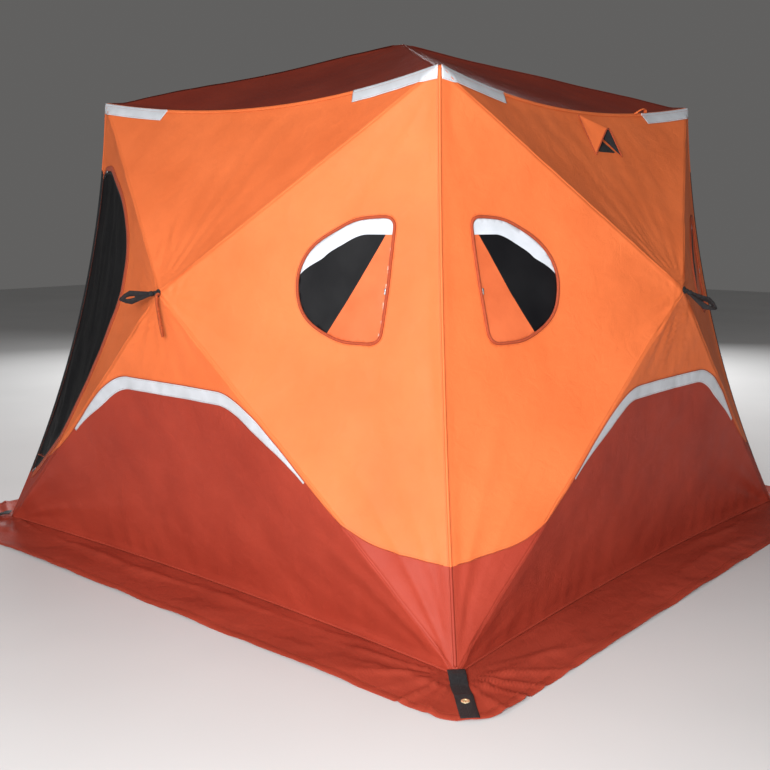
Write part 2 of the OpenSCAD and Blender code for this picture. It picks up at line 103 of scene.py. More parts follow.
def smooth_line(points, rounds, closed=False):
    """Rounds a line off, with its ends kept where they are."""
    points = np.array(points, float)
    for _ in range(rounds):
        if closed:
            points = (np.roll(points, 1, axis=0) + 2 * points + np.roll(points, -1, axis=0)) / 4
        else:
            points[1:-1] = (points[:-2] + 2 * points[1:-1] + points[2:]) / 4
    return points


def piece(name, points, faces, uv=None, smooth=True):
    """A mesh piece that rides on the hut, with its flat cloth coordinates in metres as its UV."""
    mesh = bpy.data.meshes.new(name)
    mesh.from_pydata([tuple(p) for p in np.asarray(points).tolist()], [], [tuple(f) for f in faces])
    mesh.update()
    if uv is not None:
        layer = mesh.uv_layers.new(name="cloth")
        corner_points = np.empty(len(mesh.loops), dtype=np.int64)
        mesh.loops.foreach_get("vertex_index", corner_points)
        layer.data.foreach_set("uv", np.asarray(uv, float)[corner_points].ravel())
    mesh.polygons.foreach_set("use_smooth", [smooth] * len(mesh.polygons))
    made = bpy.data.objects.new(name, mesh)
    bpy.context.collection.objects.link(made)
    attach(made, "root")
    return made


def finished(made, *looks):
    """Gives a piece its finishes."""
    for look in looks:
        made.data.materials.append(look)
    return made


def tube_mesh(path, radius, sides=8, closed=False, up=(0, 1, 0)):
    """Rings of points round a path, with the length and the way round as flat coordinates."""
    path = np.asarray(path, float)
    radius = np.broadcast_to(np.asarray(radius, float), (len(path),))
    d = along(path, closed)
    a = np.cross(d, np.asarray(up, float))
    short = np.linalg.norm(a, axis=1) < 0.05
    a[short] = np.cross(d[short], (1.0, 0.1, 0.0))
    a /= np.linalg.norm(a, axis=1, keepdims=True)
    b = np.cross(d, a)
    turn = np.linspace(0, 2 * math.pi, sides, endpoint=False)
    ring = np.cos(turn)[None, :, None] * a[:, None] + np.sin(turn)[None, :, None] * b[:, None]
    points = (path[:, None] + radius[:, None, None] * ring).reshape(-1, 3)
    n = len(path)
    spans = n if closed else n - 1
    faces = []
    for i in range(spans):
        j = (i + 1) % n
        for k in range(sides):
            m = (k + 1) % sides
            faces.append((i * sides + k, i * sides + m, j * sides + m, j * sides + k))
    if not closed:
        faces.append(tuple(range(sides))[::-1])
        faces.append(tuple((n - 1) * sides + k for k in range(sides)))
    reach = np.concatenate([[0], np.cumsum(np.linalg.norm(np.diff(path, axis=0), axis=1))])
    uv = np.stack([np.repeat(reach, sides), np.tile(turn * radius.mean(), n)], 1)
    return points, faces, uv


def joined(parts):
    """One mesh from several."""
    points, faces, uv, start = [], [], [], 0
    for p, f, t in parts:
        points.append(p)
        uv.append(t)
        faces.extend(tuple(i + start for i in g) for g in f)
        start += len(p)
    return np.vstack(points), faces, np.vstack(uv)


def add(tree, kind, settings=None, inputs=None):
    """A shader node, with its settings and its inputs, each a value or another node's output."""
    made = tree.nodes.new(kind)
    for name, value in (settings or {}).items():
        setattr(made, name, value)
    for name, value in (inputs or {}).items():
        if isinstance(value, bpy.types.NodeSocket):
            tree.links.new(value, made.inputs[name])
        else:
            made.inputs[name].default_value = value
    return made


def new_finish(name, shades, drift, detail=3.0, coordinates="UV", **values):
    """A material whose colour drifts between two shades, with the shader's plain values set.
    Returns it, its node tree, its shader and its coordinates."""
    made = bpy.data.materials.new(name)
    made.use_nodes = True
    tree = made.node_tree
    shader = tree.nodes["Principled BSDF"]
    for key, value in values.items():
        shader.inputs[key.replace("_", " ")].default_value = value
    place = add(tree, "ShaderNodeTexCoord").outputs[coordinates]
    uneven = add(tree, "ShaderNodeTexNoise", inputs={"Vector": place, "Scale": drift, "Detail": detail})
    ramp = add(tree, "ShaderNodeValToRGB", inputs={"Fac": uneven.outputs["Fac"]})
    for stop, at, shade in zip(ramp.color_ramp.elements, (0.35, 0.65), shades):
        stop.position = at
        stop.color = (*shade, 1)
    tree.links.new(ramp.outputs["Color"], shader.inputs["Base Color"])
    return made, tree, shader, place


def raised(tree, shader, height, distance, strength=1.0, under=None):
    """Bump from a height, on top of another bump if there is one."""
    inputs = {"Height": height, "Distance": distance, "Strength": strength}
    if under is not None:
        inputs["Normal"] = under.outputs["Normal"]
    bump = add(tree, "ShaderNodeBump", inputs=inputs)
    tree.links.new(bump.outputs["Normal"], shader.inputs["Normal"])
    return bump


def yarn_finish(name, dark, light, pitch):
    """Twisted polyester yarn, with its fine filaments as slanted ribs."""
    made, tree, shader, flat = new_finish(name, (dark, light), 180.0, Roughness=0.66, Sheen_Weight=0.03,
                                          Sheen_Roughness=0.4, Specular_IOR_Level=0.2)
    slanted = add(tree, "ShaderNodeMapping", inputs={"Vector": flat, "Rotation": (0, 0, 0.6)})
    ribs = add(tree, "ShaderNodeTexWave", inputs={"Vector": slanted.outputs["Vector"], "Scale": 0.31 / pitch,
                                                  "Distortion": 1.5, "Detail": 1.0})
    raised(tree, shader, ribs.outputs["Fac"], 0.0003)
    return made


cord_yarn = yarn_finish("cord_yarn", (0.22, 0.036, 0.012), (0.52, 0.095, 0.024), 0.0012)
cord_line = smooth_line(even_line(cord_route, 0.0016), 6)
cord_d = along(cord_line)
cord_a = np.cross(cord_d, (1.0, 0.0, 0.0))
cord_a /= np.linalg.norm(cord_a, axis=1, keepdims=True)
cord_b = np.cross(cord_d, cord_a)
cord_reach = np.linspace(0, 1, len(cord_line))
cord_length = float(np.linalg.norm(np.diff(cord_line, axis=0), axis=1).sum())
# The strands draw together at the cap and under the whipping
cord_swell = np.clip(np.minimum(cord_reach / 0.06, (1 - cord_reach) / 0.10) * 0.3 + 0.7, 0.7, 1.0)
strands = []
for k in range(3):
    twist = 2 * math.pi * (cord_reach * cord_length / LAY_LENGTH + k / 3)
    off = STRAND_OFF * cord_swell
    strand = cord_line + off[:, None] * (np.cos(twist)[:, None] * cord_a + np.sin(twist)[:, None] * cord_b)
    strands.append(tube_mesh(strand, STRAND_R * cord_swell, sides=8, up=(1, 0, 0)))
turn = np.linspace(0, 2 * math.pi, 20, endpoint=False)[:, None]
for i in range(WHIPPING_TURNS):
    at = len(cord_line) - 6 - 2 * i
    loop = cord_line[at] + WHIPPING_R * (np.cos(turn) * cord_a[at] + np.sin(turn) * cord_b[at])
    strands.append(tube_mesh(loop, WHIPPING_THREAD_R, sides=5, closed=True, up=cord_d[at]))
pull_cord = finished(piece("front_pull_cord_twist", *joined(strands)), cord_yarn)
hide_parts("front_pull_cord")


# ---- Hubs, rods and corner cups
# Moulded nylon hubs with solid glass-fibre rods in their sleeves. The rods' far
# ends stand in cups sewn into the corners of the cloth.
def moulded_finish(name, dark, light, drift=30.0, grain=900.0, detail=2.0, rise=0.0003, strength=0.35,
                   **values):
    """A moulded or drawn surface: uneven colour and a fine grain."""
    made, tree, shader, place = new_finish(name, (dark, light), drift, coordinates="Object", **values)
    fine = add(tree, "ShaderNodeTexNoise", inputs={"Vector": place, "Scale": grain, "Detail": detail})
    raised(tree, shader, fine.outputs["Fac"], rise, strength)
    return made


WALLS = ["front", "right", "back", "left"]
nylon = moulded_finish("black_nylon", (0.018, 0.018, 0.020), (0.034, 0.034, 0.037), Roughness=0.48)
rod_glass = moulded_finish("glass_fibre_rod", (0.016, 0.016, 0.018), (0.045, 0.045, 0.048), 60.0, 700.0, 3.0,
                           0.0002, 0.3, Roughness=0.28, Coat_Weight=0.3)
frame_finish = {node: nylon for node in ("roof_hub", "wall_hubs", "eave_corner_cups", "floor_corner_cups")}
frame_finish.update({node: rod_glass for node in ["roof_rods"] + [f"{wall}_wall_rods" for wall in WALLS]})
for node, look in frame_finish.items():
    held = frame["nodes"][node].data
    held.materials.clear()
    held.materials.append(look)


# ---- Wall cloth
# Coated polyester, cut as an upper, a lower and two side panels that meet at the
# hub. The rods pull each panel tight from the hub to its edge, the edges draw in,
# and the foot corners gather into folds. Red cloth is sewn on below an orange top.
upper_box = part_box("front_upper_panel")
lower_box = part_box("front_lower_panel")
FLOOR_HALF = lower_box[1][0]
ROOF_HALF = upper_box[1][0]
HUB_OUT = -upper_box[0][1]
HUB_H = upper_box[0][2]
CORNER_H = upper_box[1][2]
PEAK_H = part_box("roof_front_panel")[1][2]
FOOT_Z = lower_box[0][2]
SEAM_BOW = 0.065
EAVE_DROP = 0.070
EAVE_IN = 0.040
FOOT_BOW = 0.045
CLOTH_ROWS = 106
CLOTH_T = 0.0012
SLOPE_STEP = 0.004
CREASE_HALF = 0.016


def swell(u):
    """1 in the middle, 0 at -1 and 1."""
    return 1 - u * u


def step_up(x):
    """0 below 0, 1 above 1 and smooth between."""
    x = np.clip(x, 0, 1)
    return x * x * (3 - 2 * x)


def eave_line(u):
    """A wall's top edge, u from -1 at its left end to 1 at its right end."""
    u = np.asarray(u, float)
    return np.stack([ROOF_HALF * u, -ROOF_HALF + EAVE_IN * swell(u), CORNER_H - EAVE_DROP * swell(u)], -1)


def foot_line(u):
    """A wall's bottom edge."""
    u = np.asarray(u, float)
    return np.stack([FLOOR_HALF * u, -FLOOR_HALF + FOOT_BOW * swell(u), FOOT_Z + 0 * u], -1)


def half_at(v):
    """Half width of a wall, v of the way up its corner seams."""
    return FLOOR_HALF + (ROOF_HALF - FLOOR_HALF) * v - SEAM_BOW * swell(2 * v - 1)


def seam_line(v, side):
    """A wall's left or right edge, from its foot, 0, to its eave, 1."""
    v = np.asarray(v, float)
    h = half_at(v)
    return np.stack([side * h, -h, FOOT_Z + (CORNER_H - FOOT_Z) * v], -1)


HUB_TIP = np.array([0, -HUB_OUT, HUB_H])
PEAK = np.array([0, 0, PEAK_H])
rim_steps = np.linspace(-1, 1, 401)
wall_rim = np.vstack([
    foot_line(rim_steps), seam_line((rim_steps + 1) / 2, 1)[1:],
    eave_line(-rim_steps)[1:], seam_line((1 - rim_steps) / 2, -1)[1:],
])
rim_way = np.unwrap(np.arctan2(wall_rim[:, 2] - HUB_H, wall_rim[:, 0]))
roof_rim = eave_line(rim_steps)
roof_way = np.arctan2(roof_rim[:, 0], -roof_rim[:, 1])


def wall_base(x, z):
    """How far forward the taut cloth of a wall lies: straight from the hub to the wall's rim."""
    way = np.arctan2(z - HUB_H, x)
    way = np.where(way < rim_way[0], way + 2 * math.pi, way)
    rx, ry, rz = (np.interp(way, rim_way, wall_rim[:, i]) for i in range(3))
    share = np.hypot(x, z - HUB_H) / np.hypot(rx, rz - HUB_H)
    return -HUB_OUT + share * (ry + HUB_OUT)


def swells(x, z, cell, seed):
    """Smooth random swells about a cell across, from -1 to 1."""
    table = np.random.default_rng(seed).uniform(-1, 1, (64, 64))
    gx = np.asarray(x) / cell + 640.5
    gz = np.asarray(z) / cell + 640.5
    ix = np.floor(gx).astype(int)
    iz = np.floor(gz).astype(int)
    fx = step_up(gx - ix)
    fz = step_up(gz - iz)
    low = table[ix % 64, iz % 64] * (1 - fx) + table[(ix + 1) % 64, iz % 64] * fx
    high = table[ix % 64, (iz + 1) % 64] * (1 - fx) + table[(ix + 1) % 64, (iz + 1) % 64] * fx
    return low * (1 - fz) + high * fz


def fold(s):
    """A row of folds: sharp along their crests and round between them."""
    return 1 - 2 * np.abs(np.sin(s)) ** 0.75


def fan_folds(x, z, corner, folds, rise, reach, seed):
    """Folds that run out from a corner, highest a little way off and gone by a few reaches."""
    dx, dz = x - corner[0], z - corner[1]
    far = np.hypot(dx, dz)
    way = np.arctan2(dz, dx)
    wander = 0.35 * swells(way * 3, far * 2, 0.9, seed)
    rows = 0.6 * fold(folds * way + wander * 3) + 0.4 * fold(1.7 * folds * way + 1.3 + wander * 4)
    patchy = 0.55 + 0.45 * swells(way * 2.2, far, 0.8, seed + 1)
    grow = far / reach * np.exp(1 - far / reach)
    return rise * rows * patchy * grow


# Way from the hub in degrees, where the crease starts, how long and how high it is
HUB_CREASES = ((112, 0.05, 0.26, 0.0040), (128, 0.10, 0.20, 0.0030), (197, 0.07, 0.16, 0.0030),
               (214, 0.05, 0.24, 0.0042), (229, 0.09, 0.26, 0.0046), (243, 0.05, 0.22, 0.0040),
               (258, 0.08, 0.24, 0.0036), (291, 0.06, 0.20, 0.0030), (338, 0.10, 0.18, 0.0022))


def wall_crease(x, z, k):
    """Folds and swells of wall k, outwards, dying away at its edges."""
    height = np.clip((z - FOOT_Z) / (CORNER_H - FOOT_Z), 0, 1)
    to_seam = half_at(height) - np.abs(x)
    eave_z = CORNER_H - EAVE_DROP * swell(np.clip(x / ROOF_HALF, -1, 1))
    fade = step_up(to_seam / 0.05) * step_up((z - FOOT_Z) / 0.035) * step_up((eave_z - z) / 0.05)
    from_hub = np.hypot(x, z - HUB_H)
    hub_way = np.arctan2(z - HUB_H, x)
    pinches = fold(9 * hub_way + swells(hub_way, from_hub, 0.7, 40 + k))
    rays = np.cos(23 * hub_way + 4 * swells(hub_way, from_hub, 0.6, 50 + k))
    out = 0.0032 * np.exp(-((from_hub - 0.09) / 0.07) ** 2) * pinches
    out += 0.0014 * np.exp(-from_hub / 0.45) * rays
    # A few sharper creases where the cloth is pinched under the hub's cap
    for way, start, reach, rise in HUB_CREASES:
        c, s = math.cos(math.radians(way)), math.sin(math.radians(way))
        away = x * c + (z - HUB_H) * s
        across = (z - HUB_H) * c - x * s + 0.012 * np.sin(24 * away + way + k)
        run = step_up((away - start) / 0.04) * step_up((start + reach - away) / 0.09)
        out += rise * run * (1 - 1.6 * np.abs(across) / CREASE_HALF) * np.exp(-(across / CREASE_HALF) ** 2)
    for side in (-1, 1):
        foot_corner = (side * (FLOOR_HALF + 0.015), FOOT_Z - 0.02)
        eave_corner = (side * (ROOF_HALF + 0.01), CORNER_H + 0.01)
        out += fan_folds(x, z, foot_corner, 11.0, 0.0085, 0.22, 60 + 4 * k + side)
        out += fan_folds(x, z, eave_corner, 8.0, 0.0026, 0.20, 90 + 4 * k + side)
    # The foot is sewn to the skirt a little full, so it ripples just above the seam
    ripples = fold(x / 0.034 + 2 * swells(x, z, 0.3, 20 + k))
    patches = 0.5 + 0.5 * swells(x, z, 0.25, 25 + k)
    out += 0.0035 * np.exp(-(z - FOOT_Z) / 0.10) * ripples * patches
    # Panels billow in a little between their taut edges
    out -= 0.006 * np.clip(from_hub * 2.2, 0, 1) * (0.6 + 0.4 * swells(x, z, 0.5, 30 + k))
    out += 0.0036 * swells(x, z * 0.8, 0.24, 1 + k) + 0.0014 * swells(x + z, z - x, 0.085, 11 + k)
    return fade * out


def turned(points, k):
    """Carries points of the front wall to wall k."""
    c, s = [(1, 0), (0, 1), (-1, 0), (0, -1)][k]
    points = np.asarray(points, float)
    return np.stack([c * points[..., 0] - s * points[..., 1], s * points[..., 0] + c * points[..., 1],
                     points[..., 2]], -1)


def slopes(surface, a, b):
    """How steeply a surface runs along each of its two flat coordinates."""
    h = SLOPE_STEP
    along_a = (surface(a + h, b) - surface(a - h, b)) / (2 * h)
    along_b = (surface(a, b + h) - surface(a, b - h)) / (2 * h)
    return along_a, along_b


def lifted(points, way, lift, k):
    """Points of the front side's cloth, raised along the way out of it and carried to side k."""
    way /= np.linalg.norm(way, axis=-1, keepdims=True)
    return turned(points + np.asarray(lift)[..., None] * way, k)


def wall_points(x, z, k, lift=0.0):
    """Points on the outside of wall k's cloth, in the hut's own frame, raised off it by lift."""
    x = np.asarray(x, float)
    z = np.asarray(z, float)

    def depth(px, pz):
        return wall_base(px, pz) - wall_crease(px, pz, k)

    slope_x, slope_z = slopes(depth, x, z)
    way = np.stack([slope_x, -np.ones_like(x), slope_z], -1)
    return lifted(np.stack([x, depth(x, z), z], -1), way, lift, k)


def fan_net(tip, rim):
    """Rows of points from a tip out to a rim, and the triangles between them."""
    rows = len(rim) - 1
    points = [np.asarray(tip, float)[None]]
    starts = [0]
    total = 1
    spots = np.arange(rows + 1)
    for i in range(1, rows + 1):
        share = np.linspace(0, rows, i + 1)
        edge = np.stack([np.interp(share, spots, rim[:, j]) for j in range(rim.shape[1])], 1)
        points.append(tip + (i / rows) * (edge - tip))
        starts.append(total)
        total += i + 1
    faces = []
    for i in range(rows):
        a, b = starts[i], starts[i + 1]
        for j in range(i + 1):
            faces.append((a + j, b + j, b + j + 1))
            if j < i:
                faces.append((a + j, b + j + 1, a + j + 1))
    return np.vstack(points), faces


def cut_net(points, faces, level):
    """Cuts a flat net along the line where level is zero.
    Returns the points, the faces and each face's side."""
    points = [tuple(p) for p in points.tolist()]
    values = level(np.array(points)[:, 0], np.array(points)[:, 1])
    values = np.where(np.abs(values) < 1e-5, 0.0, values).tolist()
    uses = {}
    for f in faces:
        for a, b in ((f[0], f[1]), (f[1], f[2]), (f[2], f[0])):
            key = (min(a, b), max(a, b))
            uses[key] = uses.get(key, 0) + 1
    rim = {v for e, n in uses.items() if n == 1 for v in e}
    moved = set()
    for a, b in uses:
        if values[a] * values[b] < 0:
            t = values[a] / (values[a] - values[b])
            near, share = (a, t) if t < 0.5 else (b, 1 - t)
            if share < 0.22 and near not in rim and near not in moved:
                pa, pb = points[a], points[b]
                points[near] = (pa[0] + t * (pb[0] - pa[0]), pa[1] + t * (pb[1] - pa[1]))
                values[near] = 0.0
                moved.add(near)
    made = {}

    def crossing(a, b):
        key = (min(a, b), max(a, b))
        if key not in made:
            t = values[a] / (values[a] - values[b])
            pa, pb = points[a], points[b]
            made[key] = len(points)
            points.append((pa[0] + t * (pb[0] - pa[0]), pa[1] + t * (pb[1] - pa[1])))
            values.append(0.0)
        return made[key]

    cut, side = [], []
    for f in faces:
        signs = [(values[i] > 0) - (values[i] < 0) for i in f]
        if not (1 in signs and -1 in signs):
            cut.append(f)
            side.append(max(signs) if 1 in signs else (-1 if -1 in signs else 0))
            continue
        if 0 in signs:
            i = signs.index(0)
            z0, a, b = f[i], f[(i + 1) % 3], f[(i + 2) % 3]
            m = crossing(a, b)
            cut += [(z0, a, m), (z0, m, b)]
            side += [signs[(i + 1) % 3], signs[(i + 2) % 3]]
            continue
        i = next(n for n in range(3) if signs[n] != signs[(n + 1) % 3] and signs[n] != signs[(n + 2) % 3])
        a, b, c = f[i], f[(i + 1) % 3], f[(i + 2) % 3]
        ab, ca = crossing(a, b), crossing(c, a)
        cut += [(a, ab, ca), (ab, b, c), (ab, c, ca)]
        side += [signs[i], signs[(i + 1) % 3], signs[(i + 1) % 3]]
    return np.array(points), cut, np.array(side)


def kept(points, faces, wanted):
    """Only the wanted faces, with the points that they use."""
    faces = [f for f, w in zip(faces, wanted) if w]
    used = sorted({i for f in faces for i in f})
    new = {old: i for i, old in enumerate(used)}
    return points[used], [tuple(new[i] for i in f) for f in faces]


def area_of(points, faces):
    """The area of faces, taking the first three corners of each."""
    a, b, c = (points[np.array(faces)[:, i]] for i in range(3))
    return float(np.linalg.norm(np.cross(b - a, c - a), axis=1).sum() / 2)


def thickened(made, thickness, way=-1.0):
    """Gives a sheet its thickness, on its inner side."""
    solid = made.modifiers.new("cloth thickness", "SOLIDIFY")
    solid.thickness = thickness
    solid.offset = way
    solid.use_even_offset = False
    return made


def woven_finish(name, dark, light, roughness=0.52, sheen=0.0, crinkle=1.0):
    """Coated plain-weave polyester: threads, a soft crinkle, uneven dye and a satin coat."""
    made, tree, shader, flat = new_finish(name, (dark, light), 3.2, 5.0, Sheen_Weight=sheen,
                                          Sheen_Roughness=0.45, Specular_IOR_Level=0.20)
    patch = add(tree, "ShaderNodeTexNoise", inputs={"Vector": flat, "Scale": 9.0, "Detail": 4.0})
    rough = add(tree, "ShaderNodeMapRange", inputs={"Value": patch.outputs["Fac"], "From Min": 0.3,
                                                    "From Max": 0.7, "To Min": roughness - 0.05,
                                                    "To Max": roughness + 0.06})
    tree.links.new(rough.outputs["Result"], shader.inputs["Roughness"])
    yarns = {"Vector": flat, "Scale": 390.0, "Distortion": 0.6, "Detail": 1.0}
    weft, warp = (add(tree, "ShaderNodeTexWave", {"bands_direction": axis}, yarns) for axis in "XY")
    threads = add(tree, "ShaderNodeMath", settings={"operation": "ADD"},
                  inputs={0: weft.outputs["Fac"], 1: warp.outputs["Fac"]})
    weave = raised(tree, shader, threads.outputs["Value"], 0.00006)
    soft = add(tree, "ShaderNodeTexNoise", inputs={"Vector": flat, "Scale": 22.0, "Detail": 5.0,
                                                   "Roughness": 0.55, "Distortion": 0.8})
    raised(tree, shader, soft.outputs["Fac"], 0.0022 * crinkle, 0.8, weave)
    return made


orange_cloth = woven_finish("orange_cloth", (0.66, 0.138, 0.038), (0.74, 0.164, 0.048))
red_cloth = woven_finish("brick_red_cloth", (0.300, 0.034, 0.018), (0.365, 0.045, 0.024))


def band_edge(x):
    """Height of the line where the red cloth is sewn below the orange."""
    return 0.722 - 0.402 * step_up((np.abs(x) - 0.24) / 0.68) - 0.038 * step_up((np.abs(x) - 0.80) / 0.32)


def above_band(x, z):
    return z - band_edge(x)


def circle_points(cx, cz, r, count=48):
    way = np.linspace(0, 2 * math.pi, count, endpoint=False)
    return np.stack([cx + r * np.cos(way), cz + r * np.sin(way)], 1)


def wrapped(points):
    """The convex outline round flat points, anticlockwise."""
    points = sorted(map(tuple, np.round(points, 7).tolist()))

    def chain(row):
        out = []
        for p in row:
            while len(out) > 1 and ((out[-1][0] - out[-2][0]) * (p[1] - out[-2][1])
                                    - (out[-1][1] - out[-2][1]) * (p[0] - out[-2][0])) <= 0:
                out.pop()
            out.append(p)
        return out[:-1]

    return np.array(chain(points) + chain(points[::-1]))


def reach_from(centre, hulls, count=1440):
    """How far an outline made of several convex shapes reaches from its centre, each way round."""
    ways = np.linspace(-math.pi, math.pi, count, endpoint=False)
    rays = np.stack([np.cos(ways), np.sin(ways)], 1)
    best = np.zeros(count)
    for hull in hulls:
        run = np.roll(hull, -1, axis=0) - hull
        out = np.stack([run[:, 1], -run[:, 0]], 1)
        out /= np.linalg.norm(out, axis=1, keepdims=True)
        gap = ((hull - centre) * out).sum(1)
        meet = rays @ out.T
        far = np.where(meet > 1e-9, gap[None] / np.maximum(meet, 1e-9), np.inf)
        best = np.maximum(best, far.min(1))
    return ways, best


def outline_level(centre, ways, reach, grow=0.0):
    """A function that is positive inside an outline."""
    def level(x, z):
        way = np.arctan2(z - centre[1], x - centre[0])
        return np.interp(way, ways, reach, period=2 * math.pi) + grow - np.hypot(x - centre[0], z - centre[1])
    return level


def sideways(path, closed=False):
    """Unit directions to the right of a flat path."""
    d = along(path, closed)
    return np.stack([d[:, 1], -d[:, 0]], 1)


def outline_path(centre, ways, reach, spacing, grow=0.0):
    """Evenly spaced points round an outline, moved out by grow."""
    points = np.stack([centre[0] + reach * np.cos(ways), centre[1] + reach * np.sin(ways)], 1)
    points = even_line(points, spacing, closed=True)
    return points + grow * sideways(points, closed=True)


# Window: half a circle towards the hub, run out to a straight side by the corner seam
WINDOW_NODES = ["front_window", "right_windows", "back_window", "left_windows"]
WINDOW_CORNER_R = 0.028
window_low, window_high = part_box("front_window")
WINDOW_W = window_high[0] - window_low[0]


def window_shape(k, side):
    """A window's middle, its half height, its straight side and its outline, in wall k's own frame."""
    low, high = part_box(WINDOW_NODES[k])
    r = (high[2] - low[2]) / 2
    z = (high[2] + low[2]) / 2
    straight = (high[0], high[1], -low[0], -low[1])[k]
    centre = np.array([straight - WINDOW_W + r, z])
    bow = circle_points(*centre, r, 96)
    bow = bow[bow[:, 0] <= centre[0] + 1e-6]
    corners = [circle_points(straight - WINDOW_CORNER_R, z + s * (r - WINDOW_CORNER_R), WINDOW_CORNER_R)
               for s in (-1, 1)]
    ways, reach = reach_from(centre, [wrapped(np.vstack([bow, *corners]))])
    # The bow is cut a little flat above and below its nose
    turn = np.degrees((ways + math.pi) % (2 * math.pi) - math.pi)
    above = 0.090 * np.exp(-((turn - 122) / 28) ** 2)
    below = 0.035 * np.exp(-((turn + 116) / 20) ** 2)
    reach = reach * (1 - above - below)
    return {"centre": centre, "r": r, "straight": straight, "side": side, "reach": (ways, reach)}


def window_level(shape):
    """A function that is positive inside a window."""
    inside = outline_level(shape["centre"], *shape["reach"])
    return lambda x, z: inside(shape["side"] * x, z)


def window_path(shape, spacing, grow=0.0):
    """Points round a window's edge."""
    return outline_path(shape["centre"], *shape["reach"], spacing, grow) * [shape["side"], 1]


# Door: straight by the corner seam, round towards the hub, and cut back along the ridge below
door_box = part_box("front_door")
DOOR_NOSE_X = -door_box[1][0]
DOOR_TOP = door_box[1][2]
DOOR_LOW = door_box[0][2]
DOOR_R = 0.070
DOOR_NOSE_R = 0.330
DOOR_SEAM_GAP = 0.014
DOOR_RIDGE_GAP = 0.028
DOOR_NOSE_Z = HUB_H + 0.065


def seam_spot(t):
    """A circle that touches the door's straight edge, from its foot, 0, to its top, 1."""
    r = DOOR_R / 2 if t == 0 else DOOR_R
    z = (DOOR_LOW + DOOR_R / 2) * (1 - t) + (DOOR_TOP - DOOR_R) * t
    return circle_points(-(half_at(z / CORNER_H) - DOOR_SEAM_GAP - r), z, r)


door_nose = circle_points(-(DOOR_NOSE_X + DOOR_NOSE_R), DOOR_NOSE_Z, DOOR_NOSE_R, 96)
door_nose = door_nose[door_nose[:, 0] >= -(DOOR_NOSE_X + DOOR_NOSE_R) - 1e-6]
heel_x = 0.5 * (DOOR_NOSE_X + FLOOR_HALF)
heel_z = HUB_H + (FOOT_Z - HUB_H) * heel_x / FLOOR_HALF
heel_z += (DOOR_RIDGE_GAP + DOOR_R) * math.hypot(FLOOR_HALF, HUB_H) / FLOOR_HALF
door_heel = circle_points(-heel_x, heel_z, DOOR_R)
door_shoulder = seam_spot(1) + [0.060, 0]
door_hulls = [wrapped(np.vstack(h)) for h in (
    [seam_spot(0), seam_spot(0.25), door_heel, door_nose], [seam_spot(0.25), seam_spot(0.5), door_nose],
    [seam_spot(0.5), seam_spot(0.75), door_nose], [seam_spot(0.75), seam_spot(1), door_shoulder, door_nose])]
door_centre = np.array([-(DOOR_NOSE_X + 0.8 * DOOR_NOSE_R), DOOR_NOSE_Z])
door_reach = reach_from(door_centre, door_hulls)
door_level = outline_level(door_centre, *door_reach)

# A vent's hole is a triangle of black netting under its hood
VENT_X = 0.058
VENT_W = 0.184
VENT_L = 0.148
VENT_Z = CORNER_H - EAVE_DROP - 0.014 - VENT_L
vent_corners = np.array([[VENT_X + a * VENT_W, VENT_Z + b * VENT_L]
                         for a, b in ((-0.34, 0.08), (0.36, 0.08), (-0.10, 0.62))])
vent_centre = vent_corners.mean(0)
vent_level = outline_level(vent_centre, *reach_from(vent_centre, [wrapped(vent_corners)]))
netting = woven_finish("black_netting", (0.004, 0.004, 0.004), (0.010, 0.010, 0.011), 0.8, 0.05)

share = np.linspace(0, 1, CLOTH_ROWS + 1)
panel_rims = {
    "upper": eave_line(1 - 2 * share), "lower": foot_line(2 * share - 1),
    "right_side": seam_line(share, 1), "left_side": seam_line(1 - share, -1),
}
# A panel covers a little more than half of the piece that it is cut from
PANEL_SHARE = 0.55
side_nodes = {
    ("front", 1): "front_window_panel", ("front", -1): "front_door_panel",
    ("right", 1): "right_back_panel", ("right", -1): "right_front_panel",
    ("back", 1): "back_window_panel", ("back", -1): "back_door_panel",
    ("left", 1): "left_front_panel", ("left", -1): "left_back_panel",
}


def cloth_piece(name, net, faces, k, looks, face_look=None):
    """A piece of wall k's cloth from a flat net of its x and z."""
    made = finished(piece(name, wall_points(net[:, 0], net[:, 1], k), faces, uv=net), *looks)
    if face_look is not None:
        made.data.polygons.foreach_set("material_index", face_look)
    return thickened(made, CLOTH_T)


def declare_cloth(node):
    """Hides the model part that a sheet stands for."""
    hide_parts(node)


door_cuts = {}
window_cuts = []
for k, wall in enumerate(WALLS):
    for part, rim in panel_rims.items():
        net, faces = fan_net(HUB_TIP[[0, 2]], rim[:, [0, 2]])
        side = {"right_side": 1, "left_side": -1}.get(part, 0)
        node = side_nodes[wall, side] if side else f"{wall}_{part}_panel"
        looks = [orange_cloth, red_cloth]
        if side:
            shape = None if node.endswith("door_panel") else window_shape(k, side)
            level = door_level if shape is None else window_level(shape)
            net, faces, inside = cut_net(net, faces, level)
            pane_net, pane_faces = kept(net, faces, inside > 0)
            net, faces = kept(net, faces, inside <= 0)
            if shape is None:
                door_cuts[k] = (pane_net, pane_faces)
            else:
                window_cuts.append((k, shape, pane_net, pane_faces))
        if part == "upper" and wall in ("right", "left"):
            net, faces, face_side = cut_net(net, faces, vent_level)
            looks = [orange_cloth, netting]
            face_look = (face_side > 0).astype(int).tolist()
        elif part == "upper":
            face_look = None
        else:
            net, faces, face_side = cut_net(net, faces, above_band)
            face_look = (face_side < 0).astype(int).tolist()
        made = cloth_piece(f"{node}_cloth", net, faces, k, looks, face_look)
        area = area_of(wall_points(net[:, 0], net[:, 1], k), faces)
        width = {"upper": 2 * ROOF_HALF, "lower": 2 * FLOOR_HALF}.get(part, CORNER_H)
        flat = (round(width, 3), round(area / width / PANEL_SHARE, 3))
        declare_cloth(node)
